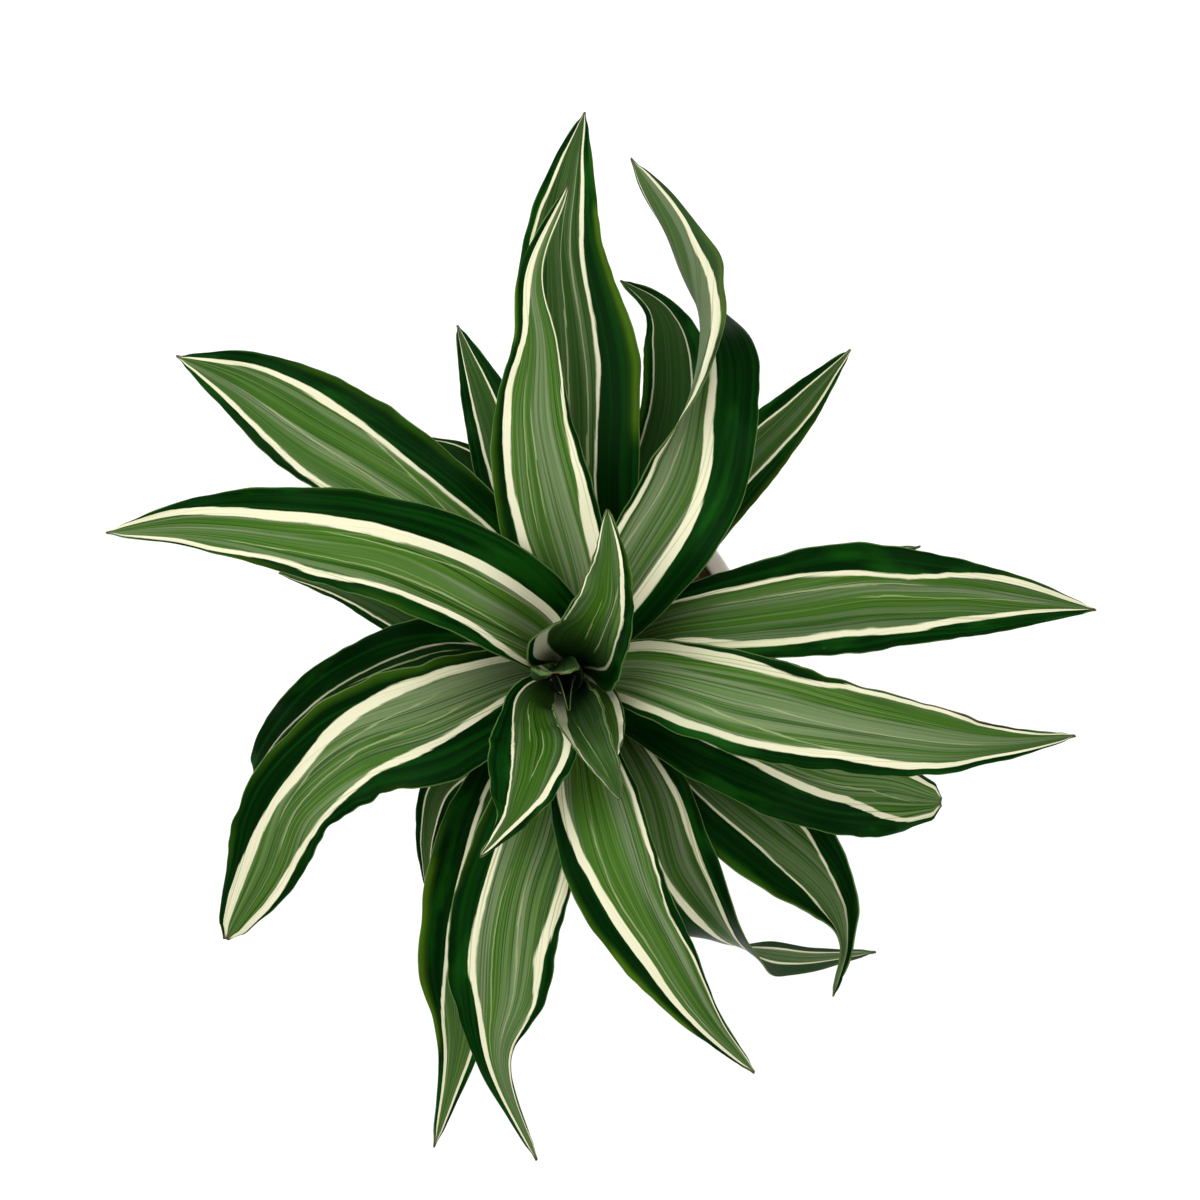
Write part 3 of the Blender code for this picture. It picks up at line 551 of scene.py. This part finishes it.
         fade=(0.6,), seed=0.89, tones=((0.2, 0.1, 1.0), (0.2, 0.1, 0.97), (0.2, 0.1, 0.9)),
         threads=(((0.34, 0.20), (0.45, 0.06), (0.62, 0.14)),)),
    Leaf("leaf_south_back", 0.245, 0.062, 0.055,
         ((-0.021, -0.040), (-0.042, -0.074), (-0.056, -0.116), (-0.062, -0.161), (-0.064, -0.206),
          (-0.078, -0.263)),
         (0.010, 0.016, 0.022, 0.024, 0.022, 0.011, 0.001),
         left_stripe=((0.80, 0.74), (0.80, 0.74), (0.80, 0.74), (0.80, 0.74), (0.74, 0.60), (0.68, 0.46)),
         right_stripe=((0.46, 0.37), (0.46, 0.37), (0.46, 0.37), (0.46, 0.36), (0.34, 0.25), (0.30, 0.22),
                       (0.37, 0.26), (0.46, 0.37), (0.72, 0.59), (0.64, 0.45), (0.60, 0.30)),
         seed=0.97, tones=((0.2, 0.1, 0.9), (0.3, 0.3, 0.6), (0.4, 0.4, 0.2), (0.5, 0.4, 0.1)),
         olive=(1.0, 0.45, 0.86)),
    Leaf("leaf_north_dark", 0.243, 0.058, 0.050,
         ((0.021, 0.044), (0.038, 0.089), (0.050, 0.132), (0.050, 0.165), (0.042, 0.187), (0.022, 0.203)),
         (0.010, 0.013, 0.018, 0.018, 0.016, 0.008, 0.001),
         left_stripe=((0.72, 0.68), (0.72, 0.68), (0.72, 0.68), (0.70, 0.66), (0.68, 0.63), (0.40, 0.32)),
         right_stripe=((0.55, 0.51), (0.55, 0.51), (0.52, 0.48), (0.50, 0.45), (0.47, 0.42), (0.45, 0.40)),
         fade=(0.4, 0.4, 0.5, 0.7, 0.7), seed=0.13,
         tones=((0.1, 0.1, 0.95), (0.2, 0.2, 0.8), (0.4, 0.1, 0.6))),
    Leaf("leaf_northeast_low", 0.226, 0.042, 0.040,
         ((0.046, 0.047), (0.082, 0.097), (0.117, 0.134), (0.148, 0.168)),
         (0.010, 0.013, 0.018, 0.012, 0.001),
         left_stripe=((0.54, 0.49), (0.54, 0.49), (0.54, 0.49), (0.53, 0.48), (0.48, 0.39), (0.40, 0.25)),
         right_stripe=((0.40, 0.34), (0.42, 0.36), (0.44, 0.38), (0.57, 0.49), (0.72, 0.61), (0.70, 0.50)),
         seed=0.19, tones=((0.3, 0.1, 0.8), (0.5, 0.1, 0.5), (0.6, 0.1, 0.45))),
    Leaf("leaf_north_low", 0.212, 0.045, 0.045,
         ((-0.011, 0.031), (-0.035, 0.090), (-0.0508, 0.139), (-0.068, 0.183)),
         (0.010, 0.013, 0.018, 0.0138, 0.001),
         left_stripe=((0.60, 0.52),), right_stripe=((0.40, 0.32),), seed=0.27,
         tones=((0.3, 0.1, 0.8), (0.4, 0.1, 0.6), (0.5, 0.1, 0.5))),
    Leaf("leaf_west_low", 0.228, 0.045, 0.050,
         ((-0.038, 0.000), (-0.081, 0.021), (-0.125, 0.039), (-0.165, 0.046)),
         (0.010, 0.013, 0.018, 0.0108, 0.001),
         right_stripe=((0.60, 0.52),), seed=0.33, tones=((0.3, 0.1, 0.8), (0.4, 0.1, 0.6))),
    Leaf("leaf_east_low", 0.216, 0.040, 0.040,
         ((0.038, -0.002), (0.082, -0.005), (0.127, -0.008)),
         (0.010, 0.009, 0.010, 0.001),
         seed=0.39, tones=((0.3, 0.1, 0.7),)),
    Leaf("leaf_northwest_low", 0.204, 0.045, 0.040,
         ((-0.016, 0.028), (-0.044, 0.075), (-0.064, 0.104), (-0.090, 0.121)),
         (0.010, 0.012, 0.018, 0.013, 0.001),
         seed=0.49, tones=((0.2, 0.1, 1.0), (0.2, 0.1, 0.95))),
    Leaf("leaf_southwest_thin", 0.220, 0.040, 0.050,
         ((-0.034, -0.043), (-0.072, -0.067), (-0.083, -0.096), (-0.085, -0.130)),
         (0.010, 0.010, 0.011, 0.007, 0.001),
         left_stripe=((0.50, 0.42),), right_stripe=((0.60, 0.52),), seed=0.57,
         tones=((0.3, 0.1, 0.8), (0.6, 0.1, 0.3))),
    Leaf("leaf_east_hidden", 0.198, 0.040, 0.040,
         ((0.044, 0.020), (0.110, 0.039), (0.190, 0.061)),
         (0.010, 0.011, 0.013, 0.001),
         seed=0.69, tones=((0.3, 0.1, 0.7),)),
)


def leaf_pattern():
    """The leaf's pattern: its colour, how far it is cream, its fine lines and its dry spots."""
    tree = bpy.data.node_groups.new("leaf_pattern", "ShaderNodeTree")
    outer_soft = 0.014
    inner_soft = 0.018
    band_soft = 0.04
    seed_spread = 37.0

    def written(name):
        """The four numbers that are written on the blade under a name."""
        read = add(tree, "Attribute", attribute_name=name)
        return (*add(tree, "SeparateColor", {0: read.outputs["Color"]}).outputs, read.outputs["Alpha"])

    left_outer, left_inner, right_inner, right_outer = written("stripes")
    bright_left, bright_right, pale_left, pale_right = written("bands")
    seed, pale, bright, deep_green_and_shade = written("tones")
    first_place, first_strength, second_place, second_strength = written("threads")
    fade, olive, scar = [add(tree, "Attribute", attribute_name=name).outputs["Fac"]
                         for name in ("fade", "olive", "scar")]
    blade = add(tree, "SeparateXYZ", {0: add(tree, "UVMap", uv_map="blade").outputs["UV"]})
    crosswise, lengthwise = blade.outputs[0], blade.outputs[1]

    shift = calc(tree, "MULTIPLY", seed, seed_spread)
    spot = add(tree, "CombineXYZ", {0: crosswise, 1: lengthwise, 2: shift}).outputs[0]
    wander = grain(tree, stretched(tree, spot, (1.5, 13.0, 1.0)), 1.0, 3.0, 0.6)
    drift = grain(tree, stretched(tree, spot, (1.6, 2.6, 1.0)), 1.0, 1.0)
    cloud = grain(tree, stretched(tree, spot, (3.0, 5.0, 1.0)), 1.0, 3.0)
    frayed = grain(tree, stretched(tree, spot, (34.0, 2.6, 1.0)), 1.0, 2.0)
    flat = calc(tree, "MULTIPLY_ADD", crosswise, 2.0, -1.0)
    side = calc(tree, "ABSOLUTE", flat)
    across = calc(tree, "ADD", flat, calc(tree, "MULTIPLY_ADD", wander, 0.07, -0.035))
    across = calc(tree, "ADD", across, calc(tree, "MULTIPLY_ADD", frayed, 0.08, -0.04))
    bent = calc(tree, "ADD", crosswise, calc(tree, "MULTIPLY", drift, 0.22))
    vein = add(tree, "CombineXYZ", {0: bent, 1: lengthwise, 2: shift}).outputs[0]
    coarse = grain(tree, stretched(tree, vein, (6.0, 0.6, 1.0)), 1.0, 1.0)
    fine = grain(tree, stretched(tree, vein, (19.0, 1.0, 1.0)), 1.0, 2.0)
    hair = grain(tree, stretched(tree, vein, (60.0, 1.4, 1.0)), 1.0, 1.0)

    def beyond(limit, soft):
        """1 on the right of a limit, with a soft edge."""
        return ramp(tree, across, calc(tree, "SUBTRACT", limit, soft), calc(tree, "ADD", limit, soft))

    def between(left, left_soft, right, right_soft):
        """1 from one limit to another."""
        return calc(tree, "SUBTRACT", beyond(left, left_soft), beyond(right, right_soft))

    def thread(limit, strength, reach):
        """A thin line as strong as given, gone at its reach to either side."""
        away = calc(tree, "ABSOLUTE", calc(tree, "SUBTRACT", across, limit))
        line = calc(tree, "SUBTRACT", 1.0, ramp(tree, away, reach * 0.3, reach))
        return calc(tree, "MULTIPLY", line, strength)

    cream = calc(tree, "ADD", between(left_outer, outer_soft, left_inner, inner_soft),
                 between(right_inner, inner_soft, right_outer, outer_soft))
    centre = between(left_inner, inner_soft, right_inner, inner_soft)
    bright_band = between(bright_left, band_soft, bright_right, band_soft)
    pale_band = between(pale_left, band_soft, pale_right, band_soft)

    # The dark margins, with cloudy lighter greens that are partly dust and partly painted sheen, and here and
    # there a bright green edge.
    margin = mix(tree, ramp(tree, fine, 0.40, 0.75), paint(3, 30, 4), paint(9, 54, 8))
    # The cloudy lighter green on the margins is painted sheen, mixed with dust.
    margin = mix(tree, calc(tree, "MULTIPLY", ramp(tree, cloud, 0.52, 0.72), 0.6), margin, paint(22, 80, 15))
    edge_green = calc(tree, "MULTIPLY", ramp(tree, drift, 0.52, 0.70), ramp(tree, side, 0.80, 0.97))
    edge_green = calc(tree, "MULTIPLY", edge_green, 0.4)
    edge_green = calc(tree, "MAXIMUM", edge_green, calc(tree, "MULTIPLY", olive, 0.8))
    margin = mix(tree, edge_green, margin, paint(72, 106, 18))

    # The centre: its ground colour, silver and bright stripes, dark and pale hairlines, and the threads.
    # The deep tone darkens these greens: partly a darker green, mostly painted shade on low leaves and in the
    # crown's hollow.
    mid = mix(tree, deep_green_and_shade, paint(71, 105, 45), paint(9, 32, 9))
    mid = mix(tree, calc(tree, "MULTIPLY", ramp(tree, cloud, 0.45, 0.70), 0.35), mid, paint(28, 62, 15))
    washed = calc(tree, "MULTIPLY", pale, ramp(tree, fine, 0.45, 0.60))
    washed = calc(tree, "MAXIMUM", washed, calc(tree, "MULTIPLY", pale_band, ramp(tree, fine, 0.30, 0.55)))
    silver = mix(tree, deep_green_and_shade, paint(124, 140, 102), paint(38, 57, 34))
    inner = mix(tree, calc(tree, "MULTIPLY", washed, 0.85), mid, silver)
    vivid = calc(tree, "MULTIPLY", bright, ramp(tree, coarse, 0.46, 0.60))
    vivid = calc(tree, "MAXIMUM", vivid, calc(tree, "MULTIPLY", bright_band, bright))
    inner = mix(tree, vivid, inner, mix(tree, deep_green_and_shade, paint(66, 108, 22), paint(19, 53, 8)))
    inner = mix(tree, calc(tree, "MULTIPLY", ramp(tree, hair, 0.56, 0.68), 0.65), inner, paint(12, 44, 8))
    pale_line = calc(tree, "MULTIPLY", ramp(tree, hair, 0.42, 0.32), calc(tree, "SUBTRACT", 0.75, deep_green_and_shade))
    inner = mix(tree, calc(tree, "MULTIPLY", pale_line, 0.55), inner, paint(134, 152, 100))
    drawn_in = calc(tree, "MAXIMUM", thread(first_place, first_strength, 0.022),
                    thread(second_place, second_strength, 0.018))
    inner = mix(tree, calc(tree, "MULTIPLY", drawn_in, 0.6), inner, paint(166, 180, 126))

    # The cream, a washed green where it has faded, and the thin light line of the very edge.
    ivory = mix(tree, ramp(tree, hair, 0.54, 0.78), paint(234, 231, 197), paint(172, 179, 128))
    # The deep tone darkens the washed green too, as painted shade.
    washed_out = mix(tree, deep_green_and_shade, paint(124, 138, 94), paint(48, 66, 38))
    colour = mix(tree, centre, margin, inner)
    colour = mix(tree, cream, colour, mix(tree, fade, washed_out, ivory))
    rim = ramp(tree, side, 0.978, 0.992)
    colour = mix(tree, calc(tree, "MULTIPLY", rim, 0.6), colour, paint(104, 136, 70))

    # The dry tip, blotches and scars.
    tip = ramp(tree, calc(tree, "ADD", lengthwise, calc(tree, "MULTIPLY", wander, 0.01)), 0.992, 1.004)
    blotch = grain(tree, stretched(tree, spot, (3.0, 14.0, 1.0)), 1.0, 3.0, 0.6)
    dry = calc(tree, "MAXIMUM", tip, calc(tree, "MULTIPLY", ramp(tree, blotch, 0.76, 0.80), 0.8))
    scarred = calc(tree, "MULTIPLY", scar, calc(tree, "ADD", wander, 0.5))
    dry = calc(tree, "MAXIMUM", dry, ramp(tree, scarred, 0.3, 0.8))
    colour = mix(tree, dry, colour, paint(96, 78, 54))

    results = (("Color", colour), ("Cream", cream), ("Lines", fine), ("Dry", dry))
    for name, value in results:
        kind = "NodeSocketColor" if name == "Color" else "NodeSocketFloat"
        tree.interface.new_socket(name=name, in_out="OUTPUT", socket_type=kind)
    out = tree.nodes.new("NodeGroupOutput")
    for name, value in results:
        tree.links.new(value, out.inputs[name])
    return tree


pattern = leaf_pattern()

leaf_top, tree, shader = surface("leaf_upper_side")
drawn = add(tree, "Group", node_tree=pattern)
tree.links.new(drawn.outputs["Color"], shader.inputs["Base Color"])
gloss = calc(tree, "MULTIPLY_ADD", drawn.outputs["Lines"], 0.16, 0.28)
tree.links.new(calc(tree, "MULTIPLY_ADD", drawn.outputs["Dry"], 0.4, gloss), shader.inputs["Roughness"])
shader.inputs["Specular IOR Level"].default_value = 0.07
shader.inputs["Specular Tint"].default_value = (0.25, 0.8, 0.25, 1.0)
relief(tree, shader, drawn.outputs["Lines"], 0.35, VEIN_DEPTH)

leaf_under, tree, shader = surface("leaf_underside")
drawn = add(tree, "Group", node_tree=pattern)
dulled = calc(tree, "MULTIPLY_ADD", drawn.outputs["Cream"], -0.20, 0.30)
tree.links.new(mix(tree, dulled, drawn.outputs["Color"], paint(74, 92, 62)), shader.inputs["Base Color"])
shader.inputs["Specular IOR Level"].default_value = 0.06
tree.links.new(calc(tree, "MULTIPLY_ADD", drawn.outputs["Lines"], 0.10, 0.48), shader.inputs["Roughness"])
relief(tree, shader, drawn.outputs["Lines"], 0.5, VEIN_DEPTH)


def along(stations, s):
    """A smooth curve through evenly spaced stations, numbers or vectors, at s from 0 to 1."""
    last = len(stations) - 1
    if last == 0:
        return stations[0]
    place = min(max(s, 0.0), 1.0) * last
    i = min(int(place), last - 1)
    t = place - i
    a = stations[i]
    b = stations[i + 1]
    before = stations[i - 1] if i > 0 else a + (a - b)
    after = stations[i + 2] if i + 2 <= last else b + (b - a)
    return 0.5 * (2 * a + (b - before) * t + (2 * before - 5 * a + 4 * b - after) * t * t
                  + (3 * a - before - 3 * b + after) * t * t * t)


def midline_point(leaf, stations, runs, s):
    """Where the middle of the blade is at s. Runs are the lengths along the plan up to each station."""
    plan = along(stations, s)
    run = along(runs, s)
    rise = leaf.lift * (1.0 - math.exp(-run / leaf.rise_length))
    return Vector((plan.x, plan.y, leaf.height + rise - leaf.droop * (run / runs[-1]) ** 2))


def blade_row(leaf, stations, runs, s):
    """What one row across the blade needs: its place, its two directions, half width, two curls and s."""
    here = midline_point(leaf, stations, runs, s)
    ahead = midline_point(leaf, stations, runs, min(s + ROW_REACH, 1.0))
    behind = midline_point(leaf, stations, runs, max(s - ROW_REACH, 0.0))
    forward = (ahead - behind).normalized()
    right = forward.cross(Vector((0.0, 0.0, 1.0))).normalized()
    up = right.cross(forward)
    narrowed = min(1.0, 0.25 + (1.0 - s) / TIP_LENGTH)
    half = max(along(leaf.half_widths, s) * narrowed, LEAST_HALF_WIDTH)
    clasp = half * max(forward.z, 0.0) / (here.xy - cane_centre(here.z)).length
    gutter = leaf.gutter * smooth(s / GUTTER_BEGINS)
    curls = [clasp + math.radians(gutter + along(bend, s)) for bend in (leaf.left_curl, leaf.right_curl)]
    roll = math.radians(along(leaf.roll, s))
    level = right * math.cos(roll) + up * math.sin(roll)
    above = up * math.cos(roll) - right * math.sin(roll)
    return here, level, above, half, curls, s


def blade_point(leaf, row, u):
    """A point of a row, with u from -1 at the left margin to 1 at the right one."""
    here, level, above, half, curls, s = row
    side = -1.0 if u < 0 else 1.0
    curl = curls[0] if u < 0 else curls[1]
    turn = curl * abs(u)
    across = half * abs(u)
    raised = 0.0
    if abs(curl) > 1e-4:
        across = half * math.sin(turn) / curl
        raised = half * (1.0 - math.cos(turn)) / curl
    loose = smooth(s / RIPPLES_BEGIN) * abs(u) ** 3
    raised += leaf.wave * loose * math.sin(math.tau * leaf.waves * s + RIPPLE_SHIFT * leaf.height + side)
    place = Vector((11.0 * s, 90.0 * leaf.height, 4.0 * side))
    across *= 1.0 + leaf.ruffle * loose * (noise.noise(place) + 0.6 * noise.noise(place * 2.7))
    return here + level * (side * across) + above * raised


def thread_place(threads, number, s):
    """Where a thread crosses the blade at s, and how strong it is there: it fades at both its ends."""
    if number < len(threads) and threads[number][0][0] < s < threads[number][-1][0]:
        thread = threads[number]
        strength = smooth(min(s - thread[0][0], thread[-1][0] - s) / FADE_LENGTH)
        for (near, u), (far, far_u) in zip(thread, thread[1:]):
            if near <= s <= far:
                return (u + (far_u - u) * (s - near) / (far - near), strength)
    return NO_THREAD


def marked(mark, u, s, inside):
    """How strong a mark is: it grows from inside out to its margin and fades at both ends along the blade."""
    side, start, end = mark
    if not start < s < end:
        return 0.0
    ends = smooth(min(s - start, end - s) / FADE_LENGTH)
    return smooth((u * side - inside) / (1.0 - inside) * 2.0) * ends


def leaf_mesh(leaf, rows):
    """A grid bent to the blade, with its pattern's numbers written on its points."""
    centre = cane_centre(leaf.height)
    outward = (Vector(leaf.midline[0]) - centre).normalized()
    stations = [centre + outward * (cane_radius(leaf.height) + SEAT_GAP)] + [Vector(p) for p in leaf.midline]
    runs = [0.0]
    for near, far in zip(stations, stations[1:]):
        runs.append(runs[-1] + (far - near).length)
    left = [Vector(pair) for pair in leaf.left_stripe]
    right = [Vector(pair) for pair in leaf.right_stripe]
    tones = [Vector(kind) for kind in leaf.tones]

    shape = bmesh.new()
    shape.loops.layers.uv.new("blade")
    stripes, bands, tone, threads = [shape.verts.layers.float_color.new(name)
                                     for name in ("stripes", "bands", "tones", "threads")]
    fade, olive, scar = [shape.verts.layers.float.new(name) for name in ("fade", "olive", "scar")]
    bmesh.ops.create_grid(shape, x_segments=BLADE_COLUMNS, y_segments=rows, size=1.0, calc_uvs=True)
    made = {}
    for vertex in shape.verts:
        s = (vertex.co.y + 1.0) / 2.0
        key = round(s * rows)
        if key not in made:
            lines = thread_place(leaf.threads, 0, s) + thread_place(leaf.threads, 1, s)
            made[key] = blade_row(leaf, stations, runs, s), along(left, s), along(right, s), lines
        row, on_left, on_right, lines = made[key]
        vertex[stripes] = (-on_left.x, -on_left.y, on_right.y, on_right.x)
        vertex[bands] = leaf.bands
        vertex[tone] = (leaf.seed, *along(tones, s))
        vertex[threads] = lines
        vertex[fade] = along(leaf.fade, s)
        vertex[olive] = marked(leaf.olive, vertex.co.x, s, OLIVE_FROM)
        vertex[scar] = marked(leaf.scar, vertex.co.x, s, SCAR_FROM)
        vertex.co = blade_point(leaf, row, vertex.co.x)
    return smooth_mesh(leaf.name + "_finished", shape)


def thicken(blade, thickness, underside):
    """Gives a blade its thickness, half to each side. Underside is the number of its lower side's finish."""
    thick = blade.modifiers.new("Thickness", "SOLIDIFY")
    thick.thickness = thickness
    thick.offset = 0.0
    thick.material_offset = underside


for leaf in LEAVES:
    mesh = leaf_mesh(leaf, CROWN_ROWS if leaf.name.startswith("leaf_crown") else LONG_ROWS)
    blade = place_piece(leaf.name + "_finished", mesh, leaf.name, "leaf_blade", leaf_top, leaf_under)
    thicken(blade, BLADE_THICKNESS, underside=1)


# The unopened leaf: a young blade, still folded into a deep channel, that stands on the cane's tip and leans
# south. It is painted near-black green, as shade deep in the crown's hollow, with a thin pale edge along each
# side.

SPEAR_FOOT = Vector((-0.006, -0.009, 0.3343))
SPEAR_TIP = Vector((-0.0043, -0.0227, 0.3720))
SPEAR_RADIUS = 0.0052
SPEAR_TAPER = 0.0046
SPEAR_OPENING = 118.0
SPEAR_THICKNESS = 0.0004
SPEAR_COLUMNS = 48
SPEAR_ROWS = 40
SPEAR_FADE = 0.3


def spear_point(s, u):
    """A point of the channel: u goes round its south side from edge to edge, s from its foot to its tip."""
    axis = SPEAR_FOOT.lerp(SPEAR_TIP, s)
    axis.xy = SPEAR_FOOT.xy.lerp(SPEAR_TIP.xy, s * s)
    turn = math.radians(-90.0 + SPEAR_OPENING * u)
    radius = SPEAR_RADIUS - SPEAR_TAPER * s
    return axis + Vector((radius * math.cos(turn), radius * math.sin(turn), 0.0))


shape = bmesh.new()
shape.loops.layers.uv.new("blade")
spear_layers = [shape.verts.layers.float_color.new(name) for name in ("stripes", "bands", "tones", "threads")]
# Its deep tone is 1: the near-black green is painted shade of the crown's hollow.
spear_looks = ((-0.97, -0.88, 0.88, 0.97), (2.0, 2.1, 2.0, 2.1), (0.35, 0.0, 0.0, 1.0), NO_THREAD + NO_THREAD)
spear_fade = shape.verts.layers.float.new("fade")
bmesh.ops.create_grid(shape, x_segments=SPEAR_COLUMNS, y_segments=SPEAR_ROWS, size=1.0, calc_uvs=True)
for vertex in shape.verts:
    for layer, value in zip(spear_layers, spear_looks):
        vertex[layer] = value
    vertex[spear_fade] = SPEAR_FADE
    vertex.co = spear_point((vertex.co.y + 1.0) / 2.0, vertex.co.x)
spear_mesh = smooth_mesh("leaf_crown_spear_finished", shape)
spear = place_piece("leaf_crown_spear_finished", spear_mesh, "leaf_crown_spear", "leaf_blade", leaf_top)
thicken(spear, SPEAR_THICKNESS, underside=0)


# The studio: a flat floor of white paper that glows a little, two large soft lights and a white sky.
# The camera hangs straight above the plant, as in the photo.

FLOOR_REACH = 6.0
FLOOR_GLOW = 0.74
SKY_GLOW = 0.42
LIGHTS_AIM = Vector((0.0, 0.0, 0.25))
WHITE = (1.0, 1.0, 1.0, 1.0)

shape = bmesh.new()
bmesh.ops.create_grid(shape, x_segments=2, y_segments=2, size=FLOOR_REACH)
floor = bpy.data.objects.new("floor", smooth_mesh("floor", shape))
bpy.context.scene.collection.objects.link(floor)
paper, tree, shader = surface("white_paper")
place = add(tree, "TexCoord").outputs["Object"]
pulp = mix(tree, grain(tree, place, 3.0, 2.0), (0.40, 0.40, 0.40, 1.0), (0.42, 0.42, 0.42, 1.0))
tree.links.new(pulp, shader.inputs["Base Color"])
shader.inputs["Roughness"].default_value = 0.9
shader.inputs["Emission Color"].default_value = WHITE
shader.inputs["Emission Strength"].default_value = FLOOR_GLOW
floor.data.materials.append(paper)


def softbox(name, position, size, power):
    """A square light that faces the plant."""
    lamp = bpy.data.lights.new(name, "AREA")
    lamp.size = size
    lamp.energy = power
    item = bpy.data.objects.new(name, lamp)
    item.location = position
    item.rotation_euler = (LIGHTS_AIM - Vector(position)).to_track_quat("-Z", "Y").to_euler()
    bpy.context.scene.collection.objects.link(item)


softbox("softbox_high", (-0.9, 0.9, 2.2), size=2.4, power=50.0)
softbox("softbox_fill", (1.6, -0.8, 1.8), size=1.8, power=16.0)

sky = bpy.data.worlds.new("studio")
sky.use_nodes = True
glow = sky.node_tree.nodes["Background"]
glow.inputs["Color"].default_value = WHITE
glow.inputs["Strength"].default_value = SKY_GLOW
bpy.context.scene.world = sky
bpy.context.scene.view_settings.view_transform = "Standard"

lens = bpy.data.cameras.new("camera")
lens.lens = 78.0
lens.sensor_width = 36.0
camera = bpy.data.objects.new("camera", lens)
camera.location = (0.011, 0.031, 1.650)
bpy.context.scene.collection.objects.link(camera)
bpy.context.scene.camera = camera
